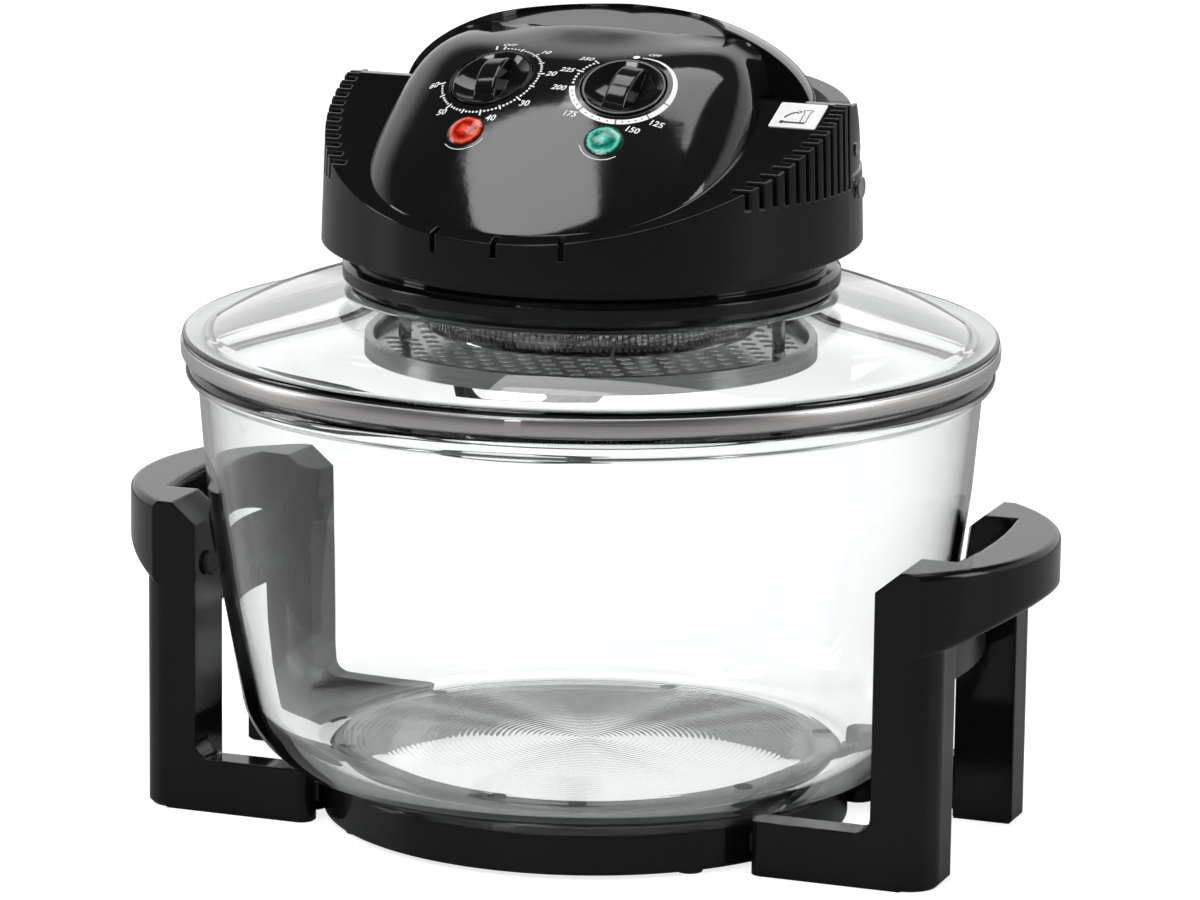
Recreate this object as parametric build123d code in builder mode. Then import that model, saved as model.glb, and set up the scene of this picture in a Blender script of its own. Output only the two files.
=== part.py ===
"""Halogen oven: glass bowl in a handled stand, lift-off glass lid that carries the heater head.

Frame: origin at the centre of the footprint on the table, +Z up, the control panel faces -Y, +X to
its right. Millimetres.
"""
import os
from math import atan, cos, degrees, hypot, pi, radians, sin, sqrt, tan

from build123d import *

os.makedirs("parts", exist_ok=True)

# ---------------------------------------------------------------- driving dimensions
WALL = 2.8                 # moulded plastic wall

# stand
RING_R = 111.4             # outside of the base ring
RING_IN_R = 98.0
RING_H = 22.5
FOOT_H = 2.0               # the ring stands on rubber feet
POST_X_IN = 150.0          # posts run from here outward
POST_X_OUT = 176.0
POST_Y_OUT = 71.0          # outer faces of posts and arms
POST_DEPTH = 28.0
ARM_X_IN = 98.0
ARM_H = 23.0
ARM_WALL = 13.0
GRIP_TOP = 133.0
GRIP_LOW = 111.0           # underside of the grip at its middle
GRIP_LOW_END = 95.0        # underside of the grip at the posts
GRIP_ARC_R = 92.0          # plan radius of the grip's outer face
GRIP_ARC_X = 111.0         # centre of that arc
GRIP_IN_X = 177.0          # inner face of the grip at its middle
RAIL_R = 165.5             # inner rail, coaxial with the bowl
RAIL_T = 3.0
RAIL_LOW = 77.0
RAIL_TOP = 110.0
WEB_SCREW = (105.0, 51.0)  # screw that ties a frame to the base ring, in plan
BUMPER_Z = 105.0
BUMPER_R = 5.2

# bowl
BOWL_FLOOR_Z = 23.5
BOWL_WALL = 4.2
BOWL_LIP_R = 168.6
BOWL_TOP = 194.6
RIDGE_PITCH = 2.5          # fine rings in the bowl's floor
RIDGE_H = 0.35
RIDGE_COUNT = 42

# lid
LID_R = 170.9
LID_HOLE_R = 90.0
LID_TOP_Z = 227.5
LID_EDGE_Z = 207.6
LID_GLASS_T = 4.4
BAND_LOW = 196.0
BAND_TOP = 204.6
COLLAR_R = 104.2
COLLAR_TOP = 237.6

# head
NECK_R = 98.0
NECK_TOP = 252.0
SKIRT_R = 113.1            # at the bottom edge
SKIRT_TOP_R = 110.9
SKIRT_LOW_FRONT = 243.8    # the bottom edge rises towards the back
SKIRT_RISE = 0.035
SHOULDER_Z = 309.0
DECK_SLOPE = 0.417         # the deck falls towards the front
LEDGE_Z = 279.0            # floor of the recess for the folded carry handle
POCKET_Y = 5.5             # the recess starts behind the wings
CREST_Y = 15.0             # front of the rear dome, and the panel's crease
REAR_DOME = (91.0, 80.0, 43.0)   # half axes of the rear dome
REAR_DOME_Y = 10.0
REAR_DOME_Z = 300.0

PANEL_HALF_W = 78.4
PANEL_FOOT_Y = -108.4
PANEL_PROFILE = (          # the panel's side profile: y, z and slope
    (CREST_Y, 332.0, 0.03),
    (-15.0, 329.0, 0.17),
    (-45.0, 318.6, 0.52),
    (-67.0, 302.4, 0.86),
    (-90.0, 281.4, 0.97),
    (-108.4, 262.8, 1.06),
)
TONGUE_SLOPE = 0.15
TONGUE_END_Y = 45.0
TONGUE_HALF_W = 52.0

# carry handle
BAIL_Y = 15.0              # pivot axis
BAIL_Z = 289.0
BAIL_R_IN = 99.0
BAIL_R_OUT = 107.4
BAIL_TOP = 307.5
BAIL_LOW = 295.0
BAIL_PIN_R = 3.0
RUN_FIT = 0.05             # radial clearance of running fits

# dials and lenses, as offsets from the panel's centreline
DIAL_X = 29.0
DIAL_Y = -43.0
KNOB_R = 17.2
KNOB_SINK = 8.6            # the dials are sunk into the dome
LENS_X = 30.0
LENS_Y = -68.2
LENS_R = 7.7

# side screws of the cover
SIDE_SCREW_Y = 15.0
SIDE_SCREW_Z = 273.0

# safety switch under the carry handle's right arm
SWITCH_SPOT = (98.0, 32.0)
SWITCH_TOP = 264.0
PLUNGER_R = 2.0

# heater
GUARD_R = 94.2
GUARD_LOW = 199.0
GUARD_TOP = 205.7
GUARD_HOLE_R = 3.1
GUARD_PITCH = 9.4
LAMP_R = 67.0
LAMP_TUBE_R = 5.5
LAMP_Z = 214.0
STANDOFF_R = 78.5

# cord
CORD_D = 6.0
CORD_AZIMUTH = 120.4       # the way it leaves the head, seen from above
CORD_EXIT_Z = 262.0
RELIEF_NECK_R = 5.5        # where the strain relief passes the skirt's wall
CORD_OUT = Vector(cos(radians(CORD_AZIMUTH)), sin(radians(CORD_AZIMUTH)), 0)
CORD_PLANE = Plane(origin=(0, 0, CORD_EXIT_Z), x_dir=(CORD_OUT.Y, -CORD_OUT.X, 0), z_dir=CORD_OUT)


def save(part, name):
    """Label a finished piece and write it."""
    part.label = name
    export_step(part, f"parts/{name}.step")


def deck_z(y):
    """Height of the deck at y."""
    return SHOULDER_Z + DECK_SLOPE * min(y, 0.0)


def panel_z(y):
    """Height of the control panel's centreline at y."""
    if y > CREST_Y:
        return PANEL_PROFILE[0][1] + TONGUE_SLOPE * (y - CREST_Y)
    spans = list(zip(PANEL_PROFILE[1:], PANEL_PROFILE[:-1]))
    (y0, z0, m0), (y1, z1, m1) = next((s for s in spans if s[0][0] <= y), spans[-1])
    h = y1 - y0
    t = (y - y0) / h
    rise = (3 - 2 * t) * t**2
    return (
        z0 * (1 - rise) + z1 * rise + h * (m0 * t * (1 - t) ** 2 - m1 * t**2 * (1 - t))
    )


# ---------------------------------------------------------------- base ring
with BuildPart() as base_ring:
    with BuildSketch(Plane.XZ) as ring_profile:
        with BuildLine():
            Polyline(
                (RING_IN_R, FOOT_H),
                (RING_R, FOOT_H),
                (RING_R, RING_H - 4.0),
                (RING_R - 4.0, RING_H),
                (RING_IN_R, RING_H),
                close=True,
            )
        make_face()
    revolve(axis=Axis.Z)
    # four ledges carry the handle frames' webs
    with BuildSketch(Plane.XY.offset(FOOT_H)):
        with Locations(*[(sx * WEB_SCREW[0], sy * WEB_SCREW[1]) for sx in (1, -1) for sy in (1, -1)]):
            Circle(6.8)
    extrude(amount=6.0)
save(base_ring.part, "base_ring")

FOOT_SPOTS = [(104 * cos(radians(a)), 104 * sin(radians(a))) for a in (45, 135, 225, 315)]
with BuildPart() as stand_feet:
    with BuildSketch(Plane.XY):
        with Locations(*FOOT_SPOTS):
            Circle(5.5)
    extrude(amount=FOOT_H)
save(stand_feet.part, "stand_feet")

with BuildPart() as bowl_pads:
    with BuildSketch(Plane.XY.offset(RING_H)):
        with PolarLocations(103, 6, start_angle=30):
            Circle(4.0)
    extrude(amount=BOWL_FLOOR_Z - RING_H)
save(bowl_pads.part, "bowl_pads")


# ---------------------------------------------------------------- handle frames
def post_plan():
    """Plan of one post: flat inside and front, rounded outside."""
    low = POST_Y_OUT - POST_DEPTH
    with BuildSketch(Plane.XY) as plan:
        with BuildLine():
            Polyline(
                (POST_X_IN, low),
                (POST_X_IN, POST_Y_OUT),
                (POST_X_OUT - 12, POST_Y_OUT),
            )
            ThreePointArc(
                (POST_X_OUT - 12, POST_Y_OUT),
                (POST_X_OUT - 2.6, POST_Y_OUT - 5.4),
                (POST_X_OUT, POST_Y_OUT - 15),
            )
            Polyline((POST_X_OUT, POST_Y_OUT - 15), (POST_X_OUT, low), (POST_X_IN, low))
        make_face()
    return plan.sketch


def grip_plan():
    """Plan of the grip with the tops of both posts, on the +X side."""
    end_x = GRIP_ARC_X + sqrt(GRIP_ARC_R**2 - POST_Y_OUT**2)
    with BuildSketch(Plane.XY) as plan:
        with BuildLine():
            ThreePointArc(
                (end_x, -POST_Y_OUT), (GRIP_ARC_X + GRIP_ARC_R, 0), (end_x, POST_Y_OUT)
            )
            Polyline(
                (end_x, POST_Y_OUT),
                (POST_X_IN, POST_Y_OUT),
                (POST_X_IN, POST_Y_OUT - POST_DEPTH),
                (POST_X_OUT - 2.5, POST_Y_OUT - POST_DEPTH),
            )
            ThreePointArc(
                (POST_X_OUT - 2.5, POST_Y_OUT - POST_DEPTH),
                (GRIP_IN_X, 0),
                (POST_X_OUT - 2.5, POST_DEPTH - POST_Y_OUT),
            )
            Polyline(
                (POST_X_OUT - 2.5, POST_DEPTH - POST_Y_OUT),
                (POST_X_IN, POST_DEPTH - POST_Y_OUT),
                (POST_X_IN, -POST_Y_OUT),
                (end_x, -POST_Y_OUT),
            )
        make_face()
    return plan.sketch


def grip_side():
    """Side of the grip in the YZ plane: flat top, arched underside."""
    with BuildSketch(Plane.YZ) as side:
        with BuildLine():
            Polyline(
                (-POST_Y_OUT, GRIP_LOW_END),
                (-POST_Y_OUT, GRIP_TOP),
                (POST_Y_OUT, GRIP_TOP),
                (POST_Y_OUT, GRIP_LOW_END),
            )
            ThreePointArc(
                (POST_Y_OUT, GRIP_LOW_END), (0, GRIP_LOW), (-POST_Y_OUT, GRIP_LOW_END)
            )
        make_face()
    return side.sketch


def handle_frame_right():
    """Arms, posts and grip of the right side in one moulding."""
    plan = grip_plan()
    side = grip_side()
    posts = [post_plan(), mirror(post_plan(), about=Plane.XZ)]
    with BuildPart() as grip:
        extrude(plan, amount=GRIP_TOP)
        extrude(side, amount=230, mode=Mode.INTERSECT)
        top = grip.faces().sort_by(Axis.Z)[-1]
        fillet(top.edges().sort_by(Axis.X)[-2:], radius=3.0)
        under = grip.faces().filter_by(Axis.X, reverse=True).sort_by(Axis.Z)[0]
        fillet(under.edges().sort_by(Axis.X)[-1:], radius=4.0)
    with BuildPart() as frame:
        for flip, post in zip((1, -1), posts):
            extrude(post, amount=GRIP_LOW_END + 8.0)
            # arm along the outer face, from the ring to the post
            arm_y = flip * (POST_Y_OUT - ARM_WALL / 2)
            with BuildSketch(Plane.XY) as arm_plan:
                with Locations(((ARM_X_IN + POST_X_IN + 6) / 2, arm_y)):
                    RectangleRounded(POST_X_IN + 6 - ARM_X_IN, ARM_WALL, 5.5)
            extrude(amount=ARM_H)
            # web between the arm and the ring, with the screw's seat
            with BuildSketch(Plane.XY.offset(FOOT_H + 6.2)) as web_plan:
                with BuildLine():
                    Polyline(
                        (96, flip * 64),
                        (152, flip * 64),
                        (152, flip * 44),
                        (96, flip * 44),
                        close=True,
                    )
                make_face()
                Circle(RING_R + 0.3, mode=Mode.SUBTRACT)
                with Locations((WEB_SCREW[0], flip * WEB_SCREW[1])):
                    Circle(2.2, mode=Mode.SUBTRACT)
                with Locations((133, flip * 52.5)):
                    SlotOverall(24, 7.5, mode=Mode.SUBTRACT)
            extrude(amount=8.0)
        add(grip.part)
        # inner top corner of each post is cut back
        with BuildSketch(Plane.XZ):
            with BuildLine():
                Polyline(
                    (POST_X_IN - 1, 124),
                    (POST_X_IN, 124),
                    (POST_X_IN + 12, GRIP_TOP + 1),
                    (POST_X_IN - 1, GRIP_TOP + 1),
                    close=True,
                )
            make_face()
        extrude(amount=POST_Y_OUT + 1, both=True, mode=Mode.SUBTRACT)
        # the posts keep clear of the bowl
        with BuildSketch(Plane.XZ):
            with BuildLine():
                Polyline(
                    (0, 60), (149.6, 60), (157.2, 100), (163.0, 143), (0, 143), close=True
                )
            make_face()
        revolve(axis=Axis.Z, mode=Mode.SUBTRACT)
        # soft inner corner where each arm meets its post
        corner = frame.edges().filter_by(Axis.Y).filter_by(
            lambda e: abs(e.center().X - POST_X_IN) < 0.5 and abs(e.center().Z - ARM_H) < 0.5
        )
        fillet(corner, radius=7.0)
        feet = frame.edges().filter_by(
            lambda e: e.bounding_box().max.Z < 0.01 and e.center().X > POST_X_IN + 10
        )
        chamfer(feet, length=1.6)
    return frame.part


right_frame = handle_frame_right()
save(right_frame, "right_handle_frame")
save(mirror(right_frame, about=Plane.YZ), "left_handle_frame")


def inner_rail(side):
    """Curved rail behind the grip, coaxial with the bowl."""
    half = degrees(atan(43.0 / RAIL_R)) - 0.2
    start = -half if side > 0 else 180 - half
    with BuildPart() as rail:
        with BuildSketch(Plane.XY.offset(RAIL_LOW)):
            with BuildLine():
                for r in (RAIL_R, RAIL_R + RAIL_T):
                    CenterArc((0, 0), r, start, 2 * half)
                for a in (start, start + 2 * half):
                    c, s = cos(radians(a)), sin(radians(a))
                    Line((RAIL_R * c, RAIL_R * s), ((RAIL_R + RAIL_T) * c, (RAIL_R + RAIL_T) * s))
            make_face()
        extrude(amount=RAIL_TOP - RAIL_LOW)
    return rail.part


save(inner_rail(1), "right_inner_rail")
save(inner_rail(-1), "left_inner_rail")

# bumpers on the posts' inner faces, short of the bowl
with BuildPart() as bowl_bumpers:
    for side in (1, -1):
        with BuildSketch(Plane.YZ.offset(side * POST_X_IN)):
            with Locations((57, BUMPER_Z), (-57, BUMPER_Z)):
                Circle(BUMPER_R)
        extrude(amount=-side * 2.6)
    fillet(bowl_bumpers.edges().filter_by(lambda e: abs(e.center().X) < POST_X_IN - 2), radius=1.2)
save(bowl_bumpers.part, "bowl_bumpers")

with BuildPart() as stand_screws:
    spots = [(sx * WEB_SCREW[0], sy * WEB_SCREW[1]) for sx in (1, -1) for sy in (1, -1)]
    with BuildSketch(Plane.XY.offset(FOOT_H + 6.2)):
        with Locations(*spots):
            Circle(2.1)
    extrude(amount=8.0)
    with BuildSketch(Plane.XY.offset(FOOT_H + 14.2)):
        with Locations(*spots):
            Circle(4.2)
    extrude(amount=2.2)
    with BuildSketch(Plane.XY.offset(FOOT_H + 16.4)):
        with Locations(*spots):
            Rectangle(4.2, 1.0)
            Rectangle(1.0, 4.2)
    extrude(amount=-1.2, mode=Mode.SUBTRACT)
save(stand_screws.part, "stand_screws")

# ---------------------------------------------------------------- glass bowl
with BuildPart() as glass_bowl:
    with BuildSketch(Plane.XZ) as bowl_profile:
        with BuildLine():
            floor_in = BOWL_FLOOR_Z + 5.0
            ridges = []
            for k in range(RIDGE_COUNT):
                ridges += [
                    (RIDGE_PITCH * k, floor_in),
                    (RIDGE_PITCH * (k + 0.5), floor_in + RIDGE_H),
                ]
            ridges.append((RIDGE_PITCH * RIDGE_COUNT, floor_in))
            Polyline((0, floor_in), (0, BOWL_FLOOR_Z), (109, BOWL_FLOOR_Z))
            ThreePointArc((109, BOWL_FLOOR_Z), (134.5, 31.5), (146.5, 54))
            Polyline((146.5, 54), (155, 100), (160.8, 143), (164.2, 184.5))
            ThreePointArc((164.2, 184.5), (165.6, 187.5), (BOWL_LIP_R, 188.6))
            ThreePointArc(
                (BOWL_LIP_R, 188.6), (BOWL_LIP_R + 0.9, 191.6), (BOWL_LIP_R, BOWL_TOP)
            )
            Polyline(
                (BOWL_LIP_R, BOWL_TOP),
                (161.2, BOWL_TOP),
                (160.0, 184.5),
                (160.8 - BOWL_WALL, 143),
                (155 - BOWL_WALL, 100),
                (146.5 - BOWL_WALL, 55),
            )
            ThreePointArc(
                (146.5 - BOWL_WALL, 55), (131.0, 35.8), (RIDGE_PITCH * RIDGE_COUNT, floor_in)
            )
            Polyline(*reversed(ridges))
        make_face()
    revolve(axis=Axis.Z)
save(glass_bowl.part, "glass_bowl")

# ---------------------------------------------------------------- glass lid, band and seal
with BuildPart() as glass_lid:
    with BuildSketch(Plane.XZ):
        with BuildLine():
            t = LID_GLASS_T
            Polyline((LID_HOLE_R, LID_TOP_Z - t), (LID_HOLE_R, LID_TOP_Z), (103, LID_TOP_Z - 0.6))
            ThreePointArc((103, LID_TOP_Z - 0.6), (134, 219.6), (160.4, LID_EDGE_Z - 0.4))
            Polyline((160.4, LID_EDGE_Z - 0.4), (168.9, LID_EDGE_Z - 0.2))
            ThreePointArc(
                (168.9, LID_EDGE_Z - 0.2), (LID_R, LID_EDGE_Z - 1.7), (168.9, LID_EDGE_Z - 3.0)
            )
            Polyline((168.9, LID_EDGE_Z - 3.0), (160.4, LID_EDGE_Z - t - 0.6))
            ThreePointArc((160.4, LID_EDGE_Z - t - 0.6), (133, 215.2), (103, LID_TOP_Z - t - 0.6))
            Polyline((103, LID_TOP_Z - t - 0.6), (LID_HOLE_R, LID_TOP_Z - t))
        make_face()
    revolve(axis=Axis.Z)
save(glass_lid.part, "glass_lid")

# steel band: a channel under the glass edge, its foot stands on the bowl's lip
with BuildPart() as lid_band:
    with BuildSketch(Plane.XZ):
        with BuildLine():
            Polyline(
                (161.5, BAND_LOW),
                (168.6, BAND_LOW),
                (171.4, BAND_LOW + 2.6),
                (171.6, BAND_TOP - 0.3),
                (170.6, BAND_TOP - 0.3),
                (170.4, BAND_LOW + 3.0),
                (168.2, BAND_LOW + 1.0),
                (161.5, BAND_LOW + 1.0),
                close=True,
            )
        make_face()
    revolve(axis=Axis.Z)
save(lid_band.part, "lid_band")

with BuildPart() as lid_seal:
    with BuildSketch(Plane.XZ):
        with BuildLine():
            Polyline(
                (161.8, BAND_LOW + 1.0),
                (168.0, BAND_LOW + 1.0),
                (170.0, BAND_LOW + 3.2),
                (170.1, BAND_TOP - 0.35),
                (168.9, BAND_TOP - 0.1),
                (161.8, BAND_TOP - 1.75),
                close=True,
            )
        make_face()
    revolve(axis=Axis.Z)
save(lid_seal.part, "lid_seal")


# ---------------------------------------------------------------- collar and neck
with BuildPart() as collar:
    with BuildSketch(Plane.XZ):
        with BuildLine():
            Polyline(
                (88, LID_TOP_Z),
                (COLLAR_R - 3.2, LID_TOP_Z),
                (COLLAR_R, LID_TOP_Z + 3.0),
                (COLLAR_R, COLLAR_TOP - 2.2),
                (COLLAR_R - 2.2, COLLAR_TOP),
                (88, COLLAR_TOP),
                close=True,
            )
        make_face()
    revolve(axis=Axis.Z)
save(collar.part, "lid_collar")

with BuildPart() as clamp_ring:
    with BuildSketch(Plane.XZ):
        with BuildLine():
            z = LID_TOP_Z - LID_GLASS_T
            Polyline((86, z - 1.6), (100, z - 1.6), (100, z - 0.5), (86, z - 0.5), close=True)
        make_face()
    revolve(axis=Axis.Z)
    with BuildSketch(Plane.XY.offset(LID_TOP_Z - LID_GLASS_T - 0.5)):
        Circle(LID_HOLE_R - 0.6)
        Circle(86.0, mode=Mode.SUBTRACT)
    extrude(amount=LID_GLASS_T + 0.5)
save(clamp_ring.part, "clamp_ring")

NECK_SLOTS = 72
NECK_SLOT_H = 6.3          # the slots hide behind the skirt
with BuildPart() as vent_neck:
    with BuildSketch(Plane.XY.offset(COLLAR_TOP)):
        Circle(NECK_R)
        Circle(NECK_R - WALL, mode=Mode.SUBTRACT)
    extrude(amount=NECK_TOP - COLLAR_TOP)
    with BuildSketch(Plane.XY.offset(NECK_TOP - NECK_SLOT_H - 1.5)):
        with PolarLocations(NECK_R - WALL / 2, NECK_SLOTS):
            Rectangle(WALL * 3, 3.6)
    extrude(amount=NECK_SLOT_H, mode=Mode.SUBTRACT)
save(vent_neck.part, "vent_neck")


# ---------------------------------------------------------------- main cover
def ellipse_body(half, z_low, y_from):
    """Half-dome over an upright elliptic wall, cut in front at y_from."""
    a, b, c = half
    centre = (0, REAR_DOME_Y, REAR_DOME_Z)
    with BuildPart() as ball:
        Sphere(1)
    dome = scale(ball.part, by=(a, b, c))
    dome = Pos(*centre) * dome
    with BuildPart() as body:
        with BuildSketch(Plane.XY.offset(z_low)):
            with Locations((0, REAR_DOME_Y)):
                Ellipse(a, b)
        extrude(amount=REAR_DOME_Z - z_low)
        add(dome)
        with Locations((0, y_from - 200, 0)):
            Box(400, 400, 1200, mode=Mode.SUBTRACT)
        with Locations((0, 0, z_low - 300)):
            Box(400, 400, 600, mode=Mode.SUBTRACT)
    return body.part


def skirt_body(inset, z_low, z_top, back_top):
    """Skirt with its sloping deck; behind the pocket's front it stops at back_top."""
    with BuildPart() as body:
        with BuildSketch(Plane.XZ):
            with BuildLine():
                draft = (SKIRT_R - SKIRT_TOP_R) / (SHOULDER_Z - SKIRT_LOW_FRONT)
                r_low = SKIRT_R - inset + draft * (SKIRT_LOW_FRONT - z_low)
                r_top = SKIRT_R - inset - draft * (z_top - SKIRT_LOW_FRONT)
                Polyline((0, z_low), (r_low, z_low), (r_top, z_top), (0, z_top), close=True)
            make_face()
        revolve(axis=Axis.Z)
        with BuildSketch(Plane.YZ):
            with BuildLine():
                far = 140.0
                Polyline(
                    (-far, z_top - DECK_SLOPE * far),
                    (0, z_top),
                    (POCKET_Y - inset * 0.9, z_top),
                    (POCKET_Y - inset * 0.9, back_top),
                    (far, back_top),
                    (far, z_top + 60),
                    (-far, z_top + 60),
                    close=True,
                )
            make_face()
        extrude(amount=far, both=True, mode=Mode.SUBTRACT)
    return body.part


VENT_COUNT = 12            # slots on each side
VENT_PITCH = 6.0
VENT_FIRST_Y = -65.0
VENT_W = 2.7
VENT_LOW = 274.4
VENT_RUN = 5.8             # how far the slots reach in on the deck
NOTCH_SPREAD = 14.2        # degrees between the notches in the front lip


def panel_outline(inset):
    """Footprint of the control dome on the deck."""
    w = PANEL_HALF_W - inset
    front = PANEL_FOOT_Y + inset
    with BuildSketch(Plane.XY) as outline:
        with BuildLine():
            Polyline((-w + 2, CREST_Y), (w - 2, CREST_Y))
            Line((w - 2, CREST_Y), (w, -30))
            ThreePointArc((w, -30), (w * 0.745, -79 + inset * 0.75), (w * 0.3, front + 2))
            ThreePointArc((w * 0.3, front + 2), (0, front), (-w * 0.3, front + 2))
            ThreePointArc((-w * 0.3, front + 2), (-w * 0.745, -79 + inset * 0.75), (-w, -30))
            Line((-w, -30), (-w + 2, CREST_Y))
        make_face()
    return outline.sketch


def tongue_outline(inset):
    """Footprint of the flat tongue behind the panel's crease."""
    w = TONGUE_HALF_W - inset
    with BuildSketch(Plane.XY) as outline:
        with BuildLine():
            Line((-w, CREST_Y - 0.01), (w, CREST_Y - 0.01))
            ThreePointArc(
                (w, CREST_Y - 0.01),
                (w * 0.66, CREST_Y + (TONGUE_END_Y - inset - CREST_Y) * 0.76),
                (0, TONGUE_END_Y - inset),
            )
            ThreePointArc(
                (0, TONGUE_END_Y - inset),
                (-w * 0.66, CREST_Y + (TONGUE_END_Y - inset - CREST_Y) * 0.76),
                (-w, CREST_Y - 0.01),
            )
        make_face()
    return outline.sketch


def vent_cutter(k, side):
    """One side vent: an upright slot that turns over the deck's edge."""
    y = VENT_FIRST_Y + VENT_PITCH * k
    edge = side * sqrt(SKIRT_TOP_R**2 - y**2)
    with BuildPart() as cutter:
        with BuildSketch(Plane.XY.offset(VENT_LOW)):
            with Locations((edge + side * 0.5, y)):
                Rectangle(2 * VENT_RUN + 1.0, VENT_W)
        extrude(amount=60)
    return cutter.part


def cheek(inner_r, outer_r):
    """Outer wall beside the pocket that carries the handle's pin; its rear edge slants down."""
    with BuildPart() as wall:
        with BuildSketch(Plane.XY.offset(LEDGE_Z - 1.0)):
            Circle(outer_r)
            Circle(inner_r, mode=Mode.SUBTRACT)
        extrude(amount=SHOULDER_Z - LEDGE_Z)
        with BuildSketch(Plane.YZ):
            with BuildLine():
                Polyline(
                    (POCKET_Y - 2.0, LEDGE_Z - 1.0),
                    (40, LEDGE_Z - 1.0),
                    (21.0, SHOULDER_Z - 8.0),
                    (15.0, SHOULDER_Z - 1.0),
                    (POCKET_Y - 2.0, SHOULDER_Z - 1.0),
                    close=True,
                )
            make_face()
        extrude(amount=150, both=True, mode=Mode.INTERSECT)
    return wall.part


panel_hole = panel_outline(5.0)
tongue_hole = tongue_outline(0.0)
dome_out = ellipse_body(REAR_DOME, LEDGE_Z - 4.0, CREST_Y)
dome_in = ellipse_body((88.0, 77.0, 26.0), LEDGE_Z - 12.0, CREST_Y + WALL)
skirt_out = skirt_body(0.0, 236.0, SHOULDER_Z, LEDGE_Z)
skirt_in = skirt_body(WALL, 230.0, SHOULDER_Z - WALL, LEDGE_Z - WALL)
cheeks = cheek(109.3, 110.9)
vents = [vent_cutter(k, side) for k in range(VENT_COUNT) for side in (1, -1)]

with BuildPart() as main_cover:
    add(skirt_out)
    add(dome_out)
    add(cheeks)
    add(skirt_in, mode=Mode.SUBTRACT)
    add(dome_in, mode=Mode.SUBTRACT)
    # opening under the control dome
    extrude(panel_hole, amount=400, mode=Mode.SUBTRACT)
    # notch that the control dome's tongue lies in
    extrude(tongue_hole, amount=400, mode=Mode.SUBTRACT)
    # the bottom edge rises towards the back
    with BuildSketch(Plane.YZ):
        with BuildLine():
            low = SKIRT_LOW_FRONT
            rise = SKIRT_RISE * (140 + SKIRT_R)
            Polyline(
                (-140, low - SKIRT_RISE * (140 - SKIRT_R)),
                (140, low + rise),
                (140, 150),
                (-140, 150),
                close=True,
            )
        make_face()
    extrude(amount=150, both=True, mode=Mode.SUBTRACT)
    add(vents, mode=Mode.SUBTRACT)
    for angle in (-NOTCH_SPREAD, 0, NOTCH_SPREAD):
        with BuildSketch(Plane.XY.rotated((0, 0, angle)).offset(deck_z(-SKIRT_R) - 5.5)):
            with Locations((0, -SKIRT_R)):
                Rectangle(2.5, 12.0)
        extrude(amount=40, mode=Mode.SUBTRACT)
    # seats of the handle's pins, the side screws and the strain relief
    with BuildSketch(Plane.YZ.offset(-130)):
        with Locations((BAIL_Y, BAIL_Z)):
            Circle(BAIL_PIN_R)
        with Locations((SIDE_SCREW_Y, SIDE_SCREW_Z)):
            Circle(2.0)
    extrude(amount=260, mode=Mode.SUBTRACT)
    with BuildSketch(CORD_PLANE.offset(SKIRT_R - 12)):
        Circle(RELIEF_NECK_R)
    extrude(amount=24, mode=Mode.SUBTRACT)
    # the switch plunger comes up through the ledge
    with BuildSketch(Plane.XY.offset(LEDGE_Z - 8)):
        with Locations(SWITCH_SPOT):
            Circle(PLUNGER_R + RUN_FIT)
    extrude(amount=12, mode=Mode.SUBTRACT)
save(main_cover.part, "main_cover")


# ---------------------------------------------------------------- control dome
def panel_power(y):
    """How square the dome's cross-section is: round in front, flat across at the crease."""
    return 2.0 if y < -60 else 2.0 + 12.0 * ((y + 60) / (CREST_Y + 60)) ** 2


def panel_half_width(y):
    """Half width of the dome where it meets the deck."""
    if y > -30:
        return PANEL_HALF_W - 6.0 * (y + 30) / (CREST_Y + 30)
    u = (-30 - y) / (-30 - PANEL_FOOT_Y)
    return PANEL_HALF_W * (1 - u**2.5) ** (1 / 2.5)


def panel_height(x, y, sink=4.0):
    """Height of the dome's surface at a place."""
    low = deck_z(y) - sink
    u = abs(x) / panel_half_width(y)
    return low + (panel_z(y) - low) * sqrt(1 - u ** panel_power(y))


def panel_loft(inset, stations):
    """Solid under the dome's surface, moved in by the inset."""
    with BuildPart() as body:
        for y in stations:
            low = deck_z(y) - 4.0 - 2 * inset
            w = panel_half_width(y) - inset
            top = panel_z(y) - inset * 1.1
            p = panel_power(y)
            count = 12
            points = []
            for k in range(2 * count + 1):
                c = cos(pi * k / (2 * count))
                x = w * (1 if c > 0 else -1) * abs(c) ** 0.9
                points.append((x, low + (top - low) * sqrt(max(0, 1 - (abs(x) / w) ** p))))
            with BuildSketch(Plane.XZ.offset(-y)):
                with BuildLine():
                    Spline(*points)
                    Line(points[-1], points[0])
                make_face()
        loft()
    return body.part


def panel_plane(x, y, sink=0.0):
    """Plane square to the dome's surface at a place."""
    step = 0.5
    dx = (panel_height(x + step, y) - panel_height(x - step, y)) / (2 * step)
    dy = (panel_height(x, y + step) - panel_height(x, y - step)) / (2 * step)
    plane = Plane(origin=(x, y, panel_height(x, y)), x_dir=(1, 0, dx), z_dir=(-dx, -dy, 1))
    return plane.offset(-sink)


DIAL_PLANES = {
    "timer": panel_plane(-DIAL_X, DIAL_Y, KNOB_SINK),
    "temp": panel_plane(DIAL_X, DIAL_Y, KNOB_SINK),
}
LENS_PLANES = {"power": panel_plane(-LENS_X, LENS_Y), "heat": panel_plane(LENS_X, LENS_Y)}

dome_outer = panel_loft(0.0, (-107.5, -103, -95, -83, -67, -48, -30, -10, CREST_Y))
dome_inner = panel_loft(2.6, (-103.5, -98, -88, -73, -57, -42, -24, -6, CREST_Y - 2.6))
tongue_plan = tongue_outline(0.3)

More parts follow.
